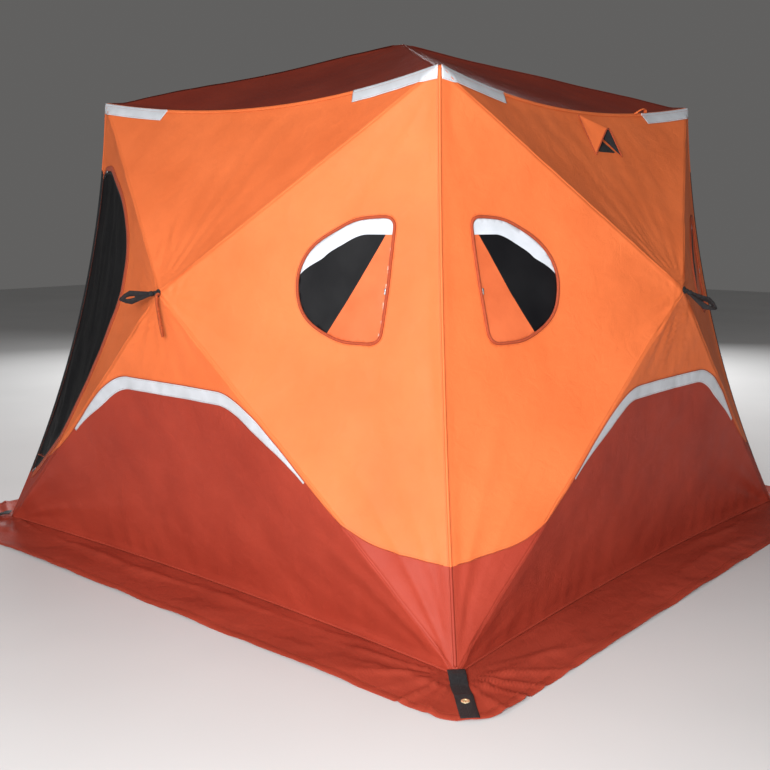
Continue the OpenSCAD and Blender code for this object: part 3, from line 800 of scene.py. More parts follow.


# ---- Roof cloth
# Four panels of the walls' red cloth, sewn together over the roof's rods, and sewn to the walls
# round the eaves. Their red is painted darker than the walls' red, as painted shade for the roof's
# dimmer light. The cloth sags a little between the rods.
# Painted shade: the walls' brick red cloth with its colour darkened to stand in for the roof lying in less
# light
roof_cloth_painted_shade = woven_finish("red_cloth_painted_shade", (0.165, 0.018, 0.008), (0.205, 0.025, 0.011), 0.60)


def roof_points(x, y, k, lift=0.0):
    """Points on top of the roof panel over wall k, from their plan in that wall's own frame."""
    x = np.asarray(x, float)
    y = np.asarray(y, float)

    def height(px, py):
        way = np.arctan2(px, -py)
        rx, ry, rz = (np.interp(way, roof_way, roof_rim[:, i]) for i in range(3))
        share = np.hypot(px, py) / np.hypot(rx, ry)
        plan = turned(np.stack([px, py, 0 * px], -1), k)
        gx, gy = plan[..., 0], plan[..., 1]
        off = np.hypot(gx, gy)
        out = 0.0030 * np.exp(-off / 0.22) * np.cos(16 * np.arctan2(gy, gx))
        out += 0.0048 * swells(gx, gy, 0.27, 7) + 0.0014 * swells(gx + gy, gx - gy, 0.09, 8)
        out -= 0.010 * np.clip(off * 2, 0, 1)
        return PEAK_H + share * (rz - PEAK_H) + step_up((1 - share) / 0.07) * step_up(off / 0.05) * out

    slope_x, slope_y = slopes(height, x, y)
    way = np.stack([-slope_x, -slope_y, np.ones_like(x)], -1)
    return lifted(np.stack([x, y, height(x, y)], -1), way, lift, k)


for k, wall in enumerate(WALLS):
    net, faces = fan_net(PEAK[:2], eave_line(2 * share - 1)[:, :2])
    points = roof_points(net[:, 0], net[:, 1], k)
    made = thickened(finished(piece(f"roof_{wall}_panel_cloth", points, faces, uv=net), roof_cloth_painted_shade), CLOTH_T)
    width = 2 * ROOF_HALF
    depth = math.hypot(ROOF_HALF, PEAK_H - CORNER_H)
    declare_cloth(f"roof_{wall}_panel")


# ---- Seams
# The walls are joined down each corner, and to the roof along the eaves, with felled
# seams that stand up as a soft welt. Two rows of stitching hold each one down, and a
# thin piping is caught in the seam between the orange and the red cloth.
piping = yarn_finish("orange_red_piping", (0.30, 0.048, 0.018), (0.40, 0.070, 0.026), 0.0018)
thread_look = yarn_finish("sewing_thread", (0.30, 0.052, 0.020), (0.44, 0.085, 0.032), 0.0006)
black_tape = yarn_finish("black_tape", (0.008, 0.008, 0.009), (0.016, 0.016, 0.018), 0.0012)


SEAM_HALF = 0.0052
SEAM_LIP = 0.4 * SEAM_HALF
WELT_OUT = 0.0026
DOOR_TAPE_W = 0.016
STITCH_GAP = 0.0030
BAND_PIPING_R = 0.0019
RIDGE_HALF = 0.0030
ROOF_RIDGE_HALF = 0.0045


def ribbon(lines, skip=None):
    """A strip through several lines of points, with its length and its width as flat coordinates."""
    lines = np.asarray(lines, float)
    m, n = lines.shape[:2]
    along_it = np.concatenate([[0], np.cumsum(np.linalg.norm(np.diff(lines[m // 2], axis=0), axis=1))])
    across = np.concatenate([[0], np.cumsum(np.linalg.norm(np.diff(lines, axis=0), axis=2).mean(1))])
    uv = np.stack([np.tile(along_it, m), np.repeat(across, n)], 1)
    faces = []
    for i in range(m - 1):
        for j in range(n - 1):
            if skip is None or not skip(i, j):
                faces.append((i * n + j, i * n + j + 1, (i + 1) * n + j + 1, (i + 1) * n + j))
    return lines.reshape(-1, 3), faces, uv


def stitch_row(points, out, pitch=0.006, length=0.0042, thick=0.0007):
    """Stitches along a line of points, each a small lozenge of thread lying on the cloth."""
    spots, ups = np.split(even_line(np.hstack([points, out]), pitch), 2, axis=1)
    d = along(spots)
    ups = ups / np.linalg.norm(ups, axis=1, keepdims=True)
    sides = np.cross(d, ups)
    corners_of = [d * length / 2, sides * thick, ups * thick, -sides * thick, -ups * thick, -d * length / 2]
    made_points = np.stack([spots + c for c in corners_of], 1).reshape(-1, 3)
    one = [(0, 1, 2), (0, 2, 3), (0, 3, 4), (0, 4, 1), (5, 2, 1), (5, 3, 2), (5, 4, 3), (5, 1, 4)]
    faces = [tuple(6 * i + c for c in f) for i in range(len(spots)) for f in one]
    return made_points, faces, made_points[:, :2]


def wall_line(x, z, k, lift):
    """A line on wall k, with the way out of the cloth at each point."""
    low = wall_points(x, z, k, lift)
    return low, wall_points(x, z, k, lift + 0.01) - low


def line_beside(path, way, off, k, lift):
    """The line on wall k that runs beside a flat path, off along way and raised by lift."""
    flat = path + way * np.reshape(off, (-1, 1))
    return wall_points(flat[:, 0], flat[:, 1], k, lift)


def trim(name, mesh_parts, look, thickness=None, way=1.0, smooth=True):
    """A sewn-on piece with its finish, thickened if a thickness is given."""
    made = finished(piece(name, *joined(mesh_parts), smooth=smooth), look)
    if thickness:
        thickened(made, thickness, way)
    return made


def stitches(name, rows):
    """Rows of stitches, each given as a line of points and the ways out of the cloth there."""
    trim(name, [stitch_row(points, out) for points, out in rows], thread_look, smooth=False)


for k, wall in enumerate(WALLS):
    after = (k + 1) % 4
    v = np.linspace(0.012, 0.995, 260)
    z = FOOT_Z + (CORNER_H - FOOT_Z) * v
    half = half_at(v)
    pucker = 0.0003 * np.sin(z / 0.0016)
    corner = turned(seam_line(v, 1), k) + turned(np.array([1, -1, 0]) / math.sqrt(2), k) * WELT_OUT
    # Beside a door the seam is bound with wide black tape
    beside_door = step_up((z - DOOR_LOW) / 0.02) * step_up((DOOR_TOP - z) / 0.02)
    far_half = SEAM_HALF + (DOOR_TAPE_W * beside_door if wall in ("right", "left") else 0)
    lines = [wall_points(half - SEAM_HALF, z, k, 0.0006), wall_points(half - SEAM_LIP, z, k, 0.0016 + pucker),
             corner, wall_points(-half + SEAM_LIP, z, after, 0.0016 - pucker),
             wall_points(-half + far_half, z, after, 0.0010)]
    made = finished(piece(f"{wall}_corner_seam", *ribbon(lines[::-1])), orange_cloth, red_cloth, black_tape)
    middle_z = np.tile((z[:-1] + z[1:]) / 2, 4)
    look = np.where(middle_z < band_edge(np.full_like(middle_z, 1.1)), 1, 0)
    if wall in ("right", "left"):
        look = np.where((middle_z > DOOR_LOW) & (middle_z < DOOR_TOP), 2, look)
    made.data.polygons.foreach_set("material_index", look.tolist())
    thickened(made, 0.0010)
    u = np.linspace(-0.995, 0.995, 220)
    edge = eave_line(u)
    eave = turned(edge + [0, -0.0016, 0.0022], k)
    welt = [wall_points(edge[:, 0] * 0.997, edge[:, 2] - 0.009, k, 0.0012), eave,
            roof_points(edge[:, 0] * 0.99, edge[:, 1] * 0.99, k, 0.0014)]
    trim(f"{wall}_eave_seam", [ribbon(welt)], orange_cloth, thickness=0.0009)
    bx = np.linspace(-0.985, 0.985, 420) * half_at(band_edge(1.0) / CORNER_H)
    tube = tube_mesh(wall_points(bx, band_edge(bx), k, 0.0004), BAND_PIPING_R, sides=6)
    trim(f"{wall}_band_piping", [tube], piping)
    rows = [wall_line(half - SEAM_HALF - STITCH_GAP, z, k, 0.0004),
            wall_line(-half + far_half + STITCH_GAP, z, after, 0.0004),
            wall_line(bx, band_edge(bx) + 0.006, k, 0.0004)]
    stitches(f"{wall}_seam_stitches", rows)

# Where two panels of a wall or of the roof meet, the seam lies flat under the cloth's edge
for k, wall in enumerate(WALLS):
    ridges = []
    for end in ([ROOF_HALF, CORNER_H], [-ROOF_HALF, CORNER_H], [FLOOR_HALF, FOOT_Z], [-FLOOR_HALF, FOOT_Z]):
        t = np.linspace(0.035, 0.985, 200)
        x = end[0] * t
        z = HUB_H + (end[1] - HUB_H) * t
        d = np.array([end[0], end[1] - HUB_H])
        side = np.array([-d[1], d[0]]) / np.linalg.norm(d) * RIDGE_HALF
        ridges.append(ribbon([wall_points(x + g * side[0], z + g * side[1], k, lift)
                              for g, lift in ((1, 0.0002), (0, 0.0008), (-1, 0.0002))]))
    made = finished(piece(f"{wall}_wall_ridges", *joined(ridges)), orange_cloth, red_cloth)
    middles = np.array([f.center[:] for f in made.data.polygons])
    flat = turned(middles, (4 - k) % 4)
    look = (above_band(flat[:, 0], flat[:, 2]) < 0).astype(int)
    made.data.polygons.foreach_set("material_index", look.tolist())
    ridge = ROOF_HALF * np.linspace(0.03, 0.985, 160)
    lines = [roof_points(ridge - ROOF_RIDGE_HALF, -ridge, k, 0.0003), roof_points(ridge, -ridge, k, 0.0018),
             roof_points(ridge, -ridge + ROOF_RIDGE_HALF, k, 0.0003)]
    # The roof's ridge tape carries the same painted shade as the roof cloth
    trim(f"{wall}_roof_ridge", [ribbon(lines[::-1])], roof_cloth_painted_shade)


# ---- Reflective strips
# White reflective tape, sewn along the top of the red band on each wall and into
# both ends of each eave, with a row of stitches near each edge.
def tape_finish():
    """White tape with fine glass beads on it."""
    made, tree, shader, flat = new_finish("reflective_tape", ((0.50, 0.52, 0.55), (0.58, 0.60, 0.64)), 14.0,
                                          Roughness=0.34, Specular_IOR_Level=0.6)
    cells = add(tree, "ShaderNodeTexVoronoi", inputs={"Vector": flat, "Scale": 420.0})
    beads = raised(tree, shader, cells.outputs["Distance"], 0.0002, 0.5)
    soft = add(tree, "ShaderNodeTexNoise", inputs={"Vector": flat, "Scale": 35.0, "Detail": 3.0})
    raised(tree, shader, soft.outputs["Fac"], 0.0005, 0.5, beads)
    return made


reflective = tape_finish()
STRIP_HALF = 0.630
STRIP_W = 0.047
EAVE_TAPE = 0.370
EAVE_TAPE_W = 0.034
for k, wall in enumerate(WALLS):
    path = np.linspace(-STRIP_HALF, STRIP_HALF, 400)
    path = even_line(np.stack([path, band_edge(path)], 1), 0.006)
    down = sideways(path)
    reach = np.linspace(0, 1, len(path))
    ends = np.minimum(reach, 1 - reach)
    width = STRIP_W * (0.24 + 0.76 * step_up(ends / 0.20))
    lines = [line_beside(path, down, 0.0015 + t * width, k, 0.0006 if 0 < t < 1 else 0.0001)
             for t in (0.0, 0.05, 0.35, 0.65, 0.95, 1.0)]
    parts = [ribbon(lines[::-1])]
    rows = [wall_line(*(path + down * (0.0015 + t * width)[:, None]).T, k, 0.0014) for t in (0.10, 0.90)]
    for side in (-1, 1):
        t = np.linspace(0, 1, 70)
        top_x = side * (ROOF_HALF - EAVE_TAPE * (1 - t) - 0.004)
        top_z = CORNER_H - EAVE_DROP * swell(top_x / ROOF_HALF) - 0.005
        low_z = top_z - EAVE_TAPE_W
        low_half = half_at((low_z - FOOT_Z) / (CORNER_H - FOOT_Z)) - 0.001
        low_x = side * np.minimum(np.abs(top_x) + 0.016 * (1 - t), low_half)
        u = top_x / ROOF_HALF
        lines = [turned(eave_line(u) + [0, -0.0042, 0.0030], k)]
        for g in (0.0, 0.06, 0.5, 0.94, 1.0):
            gx = top_x * (1 - g) + low_x * g
            gz = top_z * (1 - g) + low_z * g
            lines.append(wall_points(gx, gz, k, 0.0030 if 0 < g < 1 else 0.0024))
        parts.append(ribbon(lines if side < 0 else lines[::-1]))
        for g in (0.1, 0.9):
            rows.append(wall_line(top_x * (1 - g) + low_x * g, top_z * (1 - g) + low_z * g, k, 0.0040))
    trim(f"{wall}_reflective_strips", parts, reflective, thickness=0.0006)
    stitches(f"{wall}_strip_stitches", rows)


# ---- Windows
# A clear film is sewn into each opening under a bound edge. Behind the film lie a
# white reflective brow, a black blind, and an orange flap folded to a straight diagonal.
def film_finish(name, dark, light, drift, roughness, coat):
    """Cloth seen through a clear film, which lies on it and shines."""
    made, tree, shader, flat = new_finish(name, (dark, light), drift, 4.0, Roughness=roughness,
                                          Coat_Weight=coat, Coat_Roughness=0.20, Specular_IOR_Level=0.2)
    soft = add(tree, "ShaderNodeTexNoise", inputs={"Vector": flat, "Scale": 13.0, "Detail": 3.0})
    raised(tree, shader, soft.outputs["Fac"], 0.0030, 0.6)
    return made


BINDING_R = 0.0052
blind = film_finish("black_blind_under_film", (0.002, 0.002, 0.003), (0.006, 0.006, 0.007), 6.0, 0.55, 0.16)
flap = film_finish("orange_flap_under_film", (0.56, 0.112, 0.036), (0.64, 0.140, 0.048), 7.0, 0.45, 0.25)
brow = film_finish("white_brow_under_film", (0.50, 0.53, 0.57), (0.58, 0.61, 0.66), 9.0, 0.40, 0.30)
zip_metal = moulded_finish("painted_zip_metal", (0.30, 0.30, 0.31), (0.42, 0.42, 0.43), Roughness=0.35,
                           Metallic=0.8)


def brow_level(shape):
    """Positive on the brow: a band along the top that narrows to the round side."""
    centre, r = shape["centre"], shape["r"]
    ways, reach = shape["reach"]

    def level(x, z):
        px = shape["side"] * x - centre[0]
        pz = z - centre[1]
        way = np.arctan2(pz, px)
        way = np.where(way < -math.pi / 2, way + 2 * math.pi, way)
        turn = np.degrees(way)
        width = 0.050 * (1 - step_up((turn - 150) / 32)) - 0.003 * step_up((turn - 168) / 12)
        bowed = np.hypot(px, pz) - np.interp(way, ways, reach, period=2 * math.pi) + width
        return np.where(px > 0, pz - (r - 0.054), bowed)
    return level


def flap_level(shape):
    """Positive on the flap: the side of the diagonal by the corner seam."""
    top = np.array([shape["straight"] - 0.026, shape["centre"][1] + 0.138])
    low = np.array([shape["straight"] - 0.162, shape["centre"][1] - 0.150])
    run = (top - low) / np.linalg.norm(top - low)

    def level(x, z):
        return (shape["side"] * x - low[0]) * run[1] - (z - low[1]) * run[0]
    return level


def slider(spot, d, out, size=1.0):
    """A zip slider with its pull tab, lying on the cloth along d."""
    d = np.asarray(d) / np.linalg.norm(d)
    out = np.asarray(out) / np.linalg.norm(out)
    side = np.cross(d, out)
    t = np.linspace(0, 1, 9)
    half = size * np.interp(t, [0, 0.15, 0.4, 0.55, 0.9, 1],
                            [0.0022, 0.0042, 0.0036, 0.0020, 0.0032, 0.0018])
    lift = size * np.interp(t, [0, 0.2, 0.45, 0.6, 1], [0.003, 0.0045, 0.0042, 0.0030, 0.0020])
    run = size * 0.026 * (t - 0.3)
    middle = spot + run[:, None] * d + lift[:, None] * out
    lines = [middle + g * half[:, None] * side - (abs(g) * 0.0008 * size) * out
             for g in (-1, -0.5, 0, 0.5, 1)]
    return ribbon(lines)


for k, shape, net, faces in window_cuts:
    name = WINDOW_NODES[k].rstrip("s")
    # The right and left walls' windows are named for the end of the hut that they are near
    if WALLS[k] in ("right", "left"):
        name += "_back" if shape["side"] == 2 - k else "_front"
    net, faces, on_brow = cut_net(net, faces, brow_level(shape))
    brow_faces = [f for f, s in zip(faces, on_brow) if s > 0]
    rest = [f for f, s in zip(faces, on_brow) if s <= 0]
    net, rest, on_flap = cut_net(net, rest, flap_level(shape))
    look = [0] * len(brow_faces) + [2 if s > 0 else 1 for s in on_flap]
    depth = -0.0024 + 0.0011 * swells(net[:, 0], net[:, 1], 0.11, 70 + k)
    points = wall_points(net[:, 0], net[:, 1], k, depth)
    pane_faces = brow_faces + rest
    pane = finished(piece(f"{name}_pane", points, pane_faces, uv=net), brow, blind, flap)
    pane.data.polygons.foreach_set("material_index", look)
    thickened(pane, CLOTH_T)
    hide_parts(WINDOW_NODES[k])
    path = smooth_line(window_path(shape, 0.006, 0.001), 4, closed=True)
    binding = tube_mesh(wall_points(path[:, 0], path[:, 1], k, 0.0016), BINDING_R, sides=8, closed=True)
    trim(f"{name}_binding", [binding], piping)
    beside = path + (0.0085 * shape["side"]) * sideways(path, closed=True)
    stitches(f"{name}_stitches", [wall_line(beside[:, 0], beside[:, 1], k, 0.0004)])
    zx = shape["side"] * (shape["straight"] - 0.006)
    zz = shape["centre"][1] - 0.030
    spot, out = wall_line(np.array([zx, zx]), np.array([zz, zz - 0.01]), k, 0.0020)
    trim(f"{name}_zip_slider", [slider(spot[0], spot[1] - spot[0], out[0], 0.8)], zip_metal,
         thickness=0.0010)


# ---- Doors
# Black coated cloth, straight down the corner seam and round towards the hub. A coil
# zip runs round the free edge under an orange-red lip, with a slider at its foot.
COIL_R = 0.0030
COIL_IN = 0.011
black_cloth = woven_finish("black_door_cloth", (0.0035, 0.0035, 0.0042), (0.0075, 0.0075, 0.0085),
                           0.50, 0.0, 1.3)
for k, (net, faces) in door_cuts.items():
    wall = WALLS[k]
    # The door hangs a little slack, so it bags in soft upright folds
    inside = np.clip(door_level(net[:, 0], net[:, 1]) / 0.10, 0, 1)
    slack = 0.0060 * step_up(inside) * (swells(net[:, 0] * 2.2, net[:, 1] * 0.6, 0.16, 81 + k)
                                        + 0.5 * swells(net[:, 0] * 3.5, net[:, 1], 0.11, 83 + k)) - 0.0010
    points = wall_points(net[:, 0], net[:, 1], k, slack)
    door = finished(piece(f"{wall}_door_cloth", points, faces, uv=net), black_cloth)
    thickened(door, CLOTH_T)
    declare_cloth(f"{wall}_door")
    ring = outline_path(door_centre, *door_reach, 0.006)
    free = ring[:, 0] > -(half_at(ring[:, 1] / CORNER_H) - DOOR_SEAM_GAP - 0.012)
    start = int(np.argmax(free & ~np.roll(free, 1)))
    ring = smooth_line(np.roll(ring, -start, axis=0)[:int(free.sum())], 5)
    outward = sideways(ring)
    reach = np.linspace(0, 1, len(ring))
    taper = step_up(np.minimum(reach, 1 - reach) / 0.04)
    lines = [line_beside(ring, outward, off * (0.4 + 0.6 * taper), k, lift * taper + 0.0003) for off, lift in
             ((0.013, 0.0004), (0.008, 0.0022), (0.001, 0.0040), (-0.005, 0.0046), (-0.008, 0.0034))]
    trim(f"{wall}_door_lip", [ribbon(lines)], piping, thickness=0.0010)
    coil = tube_mesh(line_beside(ring, outward, -COIL_IN, k, 0.0016), COIL_R, sides=6)
    tape = [line_beside(ring, outward, off, k, 0.0007) for off in (-0.005, -0.022)]
    trim(f"{wall}_door_zip", [coil, ribbon(tape)], black_tape)
    q = ring + outward * 0.0105
    stitches(f"{wall}_door_stitches", [wall_line(q[:, 0], q[:, 1], k, 0.0022)])
    spots, out = wall_line(*(ring - COIL_IN * outward).T, k, 0.0040)
    for n, i in ((1, 12), (2, len(ring) - 14)):
        pull = slider(spots[i], spots[i + 1] - spots[i], out[i], 1.3)
        trim(f"{wall}_door_slider_{n}", [pull], zip_metal, thickness=0.0012)


# ---- Vent hoods
# A hood of the wall's own cloth, sewn down along both sides and held open by a stiff
# bound edge, over a hole closed with black netting.
for k in (1, 3):
    wall = WALLS[k]
    t = np.linspace(0, 1, 41)
    legs = np.array([[VENT_X - VENT_W / 2, VENT_Z], [VENT_X + VENT_W / 2, VENT_Z]])
    tip = wall_points(VENT_X - 0.25 * VENT_W, VENT_Z + VENT_L, k, 0.001)
    peak = wall_points(VENT_X + 0.040, VENT_Z + 0.59 * VENT_L, k, 0.042)
    left, right = (wall_points(*leg, k, 0.001) for leg in legs)
    # The mouth rises straight from each leg and turns over in a tight bend
    rising = left + (peak - left) * (2 * t)[:, None]
    falling = peak + (right - peak) * (2 * t - 1)[:, None]
    mouth = smooth_line(np.where((t < 0.5)[:, None], rising, falling), 14)
    rows = []
    for b in np.linspace(0, 1, 25):
        dent = 0.006 * math.sin(math.pi * b) * np.sin(2 * math.pi * t) ** 2
        middle = (left + right) / 2 - peak
        rows.append(mouth + (tip - mouth) * b + dent[:, None] * middle / np.linalg.norm(middle))
    folded = ribbon(rows)
    hood = finished(piece(f"{wall}_vent_hood_cloth", *folded), orange_cloth)
    thickened(hood, 0.0016, 0.0)
    # The two halves of each four-cornered face are as good as equal
    declare_cloth(f"{wall}_vent_hood")
    # The hood is lined with black, and the lining stays just inside it
    # Painted shade: a black sheet lies just inside the hood, standing in for the shade under it
    under = (left + right + tip) / 3
    shade_sheet = [row + (under - row) * 0.05 for row in rows]
    trim(f"{wall}_vent_shade_sheet", [ribbon(shade_sheet)], black_tape, thickness=0.0008, way=0.0)
    edges = [tube_mesh(mouth, 0.0030, sides=7)]
    edges += [tube_mesh(np.linspace(leg, tip, 24), 0.0022, sides=6) for leg in (left, right)]
    trim(f"{wall}_vent_binding", edges, piping)


# ---- Snow skirt
# A strip of the red cloth sewn all round the foot, lying on the ground so that snow
# can be banked on it. Its outer edge is a folded hem, and it gathers at the corners.
SKIRT_HALF = -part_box("front_skirt")[0][1]
SKIRT_R = 0.150
SKIRT_W = 0.250
FOOT_SEAM_R = 0.0042
skirt_cloth = woven_finish("red_skirt_cloth", (0.310, 0.040, 0.022), (0.380, 0.052, 0.029), 0.50, 0.0, 1.4)


def skirt_edge(t):
    """The skirt's outer edge from one corner's diagonal, 0, to the next one's, 1."""
    c = SKIRT_HALF - SKIRT_R
    arc = np.radians(np.linspace(45, 0, 30))
    right = np.stack([c + SKIRT_R * np.sin(arc), -c - SKIRT_R * np.cos(arc)], 1)
    line = np.vstack([right * [-1, 1], right[::-1]])
    reach = np.concatenate([[0], np.cumsum(np.linalg.norm(np.diff(line, axis=0), axis=1))])
    return np.stack([np.interp(t * reach[-1], reach, line[:, i]) for i in range(2)], -1)


def skirt_height(x, y):
    """How high the skirt's cloth lies, in the hut's own frame."""
    fx, fy = np.abs(x), np.abs(y)
    dx, dy = fx - FLOOR_HALF, fy - FLOOR_HALF
    far = np.hypot(dx, dy)
    way = np.arctan2(dy, dx)
    fan = fold(7.5 * way + 1.1 * swells(x, y, 0.5, 95)) * 0.014 * (far / 0.12) * np.exp(1 - far / 0.12)
    fan *= 0.55 + 0.45 * swells(way * 2, far * 2, 0.6, 96)
    beyond = np.maximum(dx, dy)
    waves = 0.0058 * swells(x, y, 0.17, 97) + 0.0022 * swells(x + y, x - y, 0.07, 98)
    # Long low ripples run beside the foot of the wall
    ripple = 0.0060 * fold(beyond / 0.045 + 1.4 * swells(x, y, 0.45, 99))
    ripple = ripple * np.exp(-((beyond - 0.05) / 0.07) ** 2)
    rise = fan + waves + ripple + 0.0035
    return 0.0030 + np.maximum(rise, 0) * step_up((beyond + 0.035) / 0.05)


def skirt_points(s, t, k, lift=0.0):
    """Points of wall k's skirt: s along it and t out from the foot to the hem, both from 0 to 1."""
    foot = foot_line(2 * s - 1)[..., :2]
    flat = foot + (skirt_edge(s) - foot) * t[..., None]
    flat = turned(np.concatenate([flat, np.zeros(flat.shape[:-1] + (1,))], -1), k)
    flat[..., 2] = skirt_height(flat[..., 0], flat[..., 1]) + lift
    return flat


for k, wall in enumerate(WALLS):
    s, t = np.meshgrid(np.linspace(0, 1, 241), np.linspace(-0.045, 1, 27))
    points, faces = ribbon(skirt_points(s, t, k)[::-1])[:2]
    uv = np.stack([s[::-1].ravel() * 2 * FLOOR_HALF, t[::-1].ravel() * SKIRT_W], 1)
    made = finished(piece(f"{wall}_skirt_cloth", points, faces, uv=uv), skirt_cloth)
    thickened(made, CLOTH_T)
    declare_cloth(f"{wall}_skirt")
    line = np.linspace(0, 1, 420)
    hem = [skirt_points(line, np.full_like(line, t), k, lift) for t, lift in
           ((0.875, 0.0004), (0.89, 0.0016), (0.94, 0.0016), (0.99, 0.0016), (1.0, 0.0004))]
    rows = []
    for t in (0.895, 0.975):
        low = skirt_points(line, np.full_like(line, t), k, 0.0026)
        rows.append((low, np.tile([0.0, 0, 1], (len(low), 1))))
    trim(f"{wall}_skirt_hem", [ribbon(hem[::-1])], skirt_cloth)
    stitches(f"{wall}_skirt_stitches", rows)
    foot = turned(foot_line(np.linspace(-0.992, 0.992, 300)), k) + [0, 0, 0.0040]
    foot_tube = tube_mesh(foot, FOOT_SEAM_R, sides=7, up=(0, 0, 1))
    trim(f"{wall}_foot_seam", [foot_tube], skirt_cloth)


# ---- Corner straps and eyelets
# Black webbing sewn over the skirt at each corner, with a rolled brass eyelet for
# the ice anchor.
def webbing_finish():
    """Woven webbing, ribbed across and along."""
    shades = ((0.006, 0.006, 0.007), (0.014, 0.014, 0.016))
    made, tree, shader, flat = new_finish("black_webbing", shades, 120.0, Roughness=0.60, Sheen_Weight=0.04,
                                          Sheen_Roughness=0.5, Specular_IOR_Level=0.25)
    ribs = add(tree, "ShaderNodeTexWave", settings={"bands_direction": "X"},
               inputs={"Vector": flat, "Scale": 160.0, "Distortion": 0.4})
    first = raised(tree, shader, ribs.outputs["Fac"], 0.0004)
    cords = add(tree, "ShaderNodeTexWave", settings={"bands_direction": "Y"},
                inputs={"Vector": flat, "Scale": 95.0, "Distortion": 0.3})
    raised(tree, shader, cords.outputs["Fac"], 0.0005, 0.8, first)
    return made


def brass_finish():
    """Rolled brass, scuffed by anchors."""
    made, tree, shader, place = new_finish("rolled_brass", ((0.62, 0.46, 0.24), (0.86, 0.70, 0.44)), 160.0,
                                           coordinates="Object", Metallic=0.55)
    scuffs = add(tree, "ShaderNodeTexNoise", inputs={"Vector": place, "Scale": 420.0, "Detail": 4.0})
    scuffed = add(tree, "ShaderNodeMapRange",
                  inputs={"Value": scuffs.outputs["Fac"], "To Min": 0.22, "To Max": 0.45})
    tree.links.new(scuffed.outputs["Result"], shader.inputs["Roughness"])
    raised(tree, shader, scuffs.outputs["Fac"], 0.0002, 0.4)
    return made


webbing = webbing_finish()
brass = brass_finish()


def lathe(profile, sides=48):
    """Turns a closed outline of (radius, height) round the Z axis."""
    profile = np.asarray(profile, float)
    turn = np.linspace(0, 2 * math.pi, sides, endpoint=False)
    points = np.stack([np.outer(np.cos(turn), profile[:, 0]), np.outer(np.sin(turn), profile[:, 0]),
                       np.tile(profile[:, 1], (sides, 1))], -1).reshape(-1, 3)
    n = len(profile)
    faces = [(i * n + j, ((i + 1) % sides) * n + j, ((i + 1) % sides) * n + (j + 1) % n, i * n + (j + 1) % n)
             for i in range(sides) for j in range(n)]
    return points, faces, points[:, :2]


GROMMET = np.array(frame["record"]["mounts"][0]["pos_m"][:2])
grommet_out = float(np.linalg.norm(GROMMET))
strap_in = math.sqrt(2) * FLOOR_HALF + 0.002
strap_end = (SKIRT_HALF - SKIRT_R) * math.sqrt(2) + SKIRT_R - 0.001
STRAP_HALF = 0.025
HOLE_R = 0.0062
straps, eyelets = [], []
for k in range(4):
    run = np.concatenate([np.linspace(strap_in, grommet_out - HOLE_R, 40),
                          np.linspace(grommet_out - HOLE_R, grommet_out + HOLE_R, 17)[1:-1],
                          np.linspace(grommet_out + HOLE_R, strap_end, 26)])
    inner = np.sqrt(np.maximum(HOLE_R ** 2 - (run - grommet_out) ** 2, 0))
    tracks = []
    # The middle line is there twice, parted round the eyelet's hole
    for n, g in enumerate((-1, -0.96, -0.5, 0, 0, 0.5, 0.96, 1)):
        across = np.sign(g) * (inner + (STRAP_HALF - inner) * abs(g)) if g else (-inner if n == 3 else inner)
        x = (run + across) / math.sqrt(2)
        y = -(run - across) / math.sqrt(2)
        sag = skirt_height(run / math.sqrt(2), -run / math.sqrt(2))
        ease = step_up((run - strap_in) / 0.05)
        z = np.maximum(sag * ease + 0.006 * (1 - ease), skirt_height(x, y) * ease)
        z = z + (0.0022 if abs(g) < 0.99 else 0.0012)
        # It starts high, over the end of the corner seam
        z = z + 0.015 * (1 - step_up((run - strap_in - 0.022) / 0.045))
        tracks.append(turned(np.stack([x, y, z], 1), k))
    open_at = {j for j in range(len(run) - 1) if inner[j] > 0 or inner[j + 1] > 0}
    straps.append(ribbon(tracks, skip=lambda i, j: i == 3 and j in open_at))
    flat_z = float(skirt_height(grommet_out / math.sqrt(2), -grommet_out / math.sqrt(2)))
    top = flat_z + 0.0045
    ring = lathe([(0.0060, 0.0012), (0.0060, top), (0.0064, top + 0.0012), (0.0080, top + 0.0018),
                  (0.0108, top + 0.0014), (0.0126, top + 0.0004), (0.0128, top - 0.0006),
                  (0.0072, top - 0.0008), (0.0071, 0.0012)])
    place = turned(np.array([grommet_out / math.sqrt(2), -grommet_out / math.sqrt(2), 0]), k)
    eyelets.append((ring[0] + place, ring[1], ring[2]))
made = trim("corner_webbing_straps", straps, webbing, thickness=0.0016)
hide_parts("corner_straps")
made = trim("rolled_eyelets", eyelets, brass)
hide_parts("corner_grommets")


# ---- Hub pull straps
# A short length of black webbing, pinched to a knot at the hub's stud and slit near its
# pointed end for a finger, to pull the wall out with.
CAP_FACE = 0.0028
CAP_R = 0.0125
PULL_L = 0.130
PULL_HALF = 0.023
tilt = math.atan((FLOOR_HALF - ROOF_HALF) / CORNER_H)
hub_way = np.array([0, -math.cos(tilt), math.sin(tilt)])


def knot(spot, r, seed):
    """A lump of pulled-tight webbing."""
    ring = lathe([(0.0001, -0.8 * r), (0.55 * r, -0.66 * r), (0.92 * r, -0.3 * r), (1.0 * r, 0.05 * r),
                  (0.85 * r, 0.45 * r), (0.5 * r, 0.72 * r), (0.0001, 0.82 * r)], 20)
    points = ring[0]
    grooves = 1 + 0.16 * fold(2.2 * np.arctan2(points[:, 1], points[:, 0]) + points[:, 2] / r * 1.6 + seed)
    return points * grooves[:, None] + spot, ring[1], ring[2]


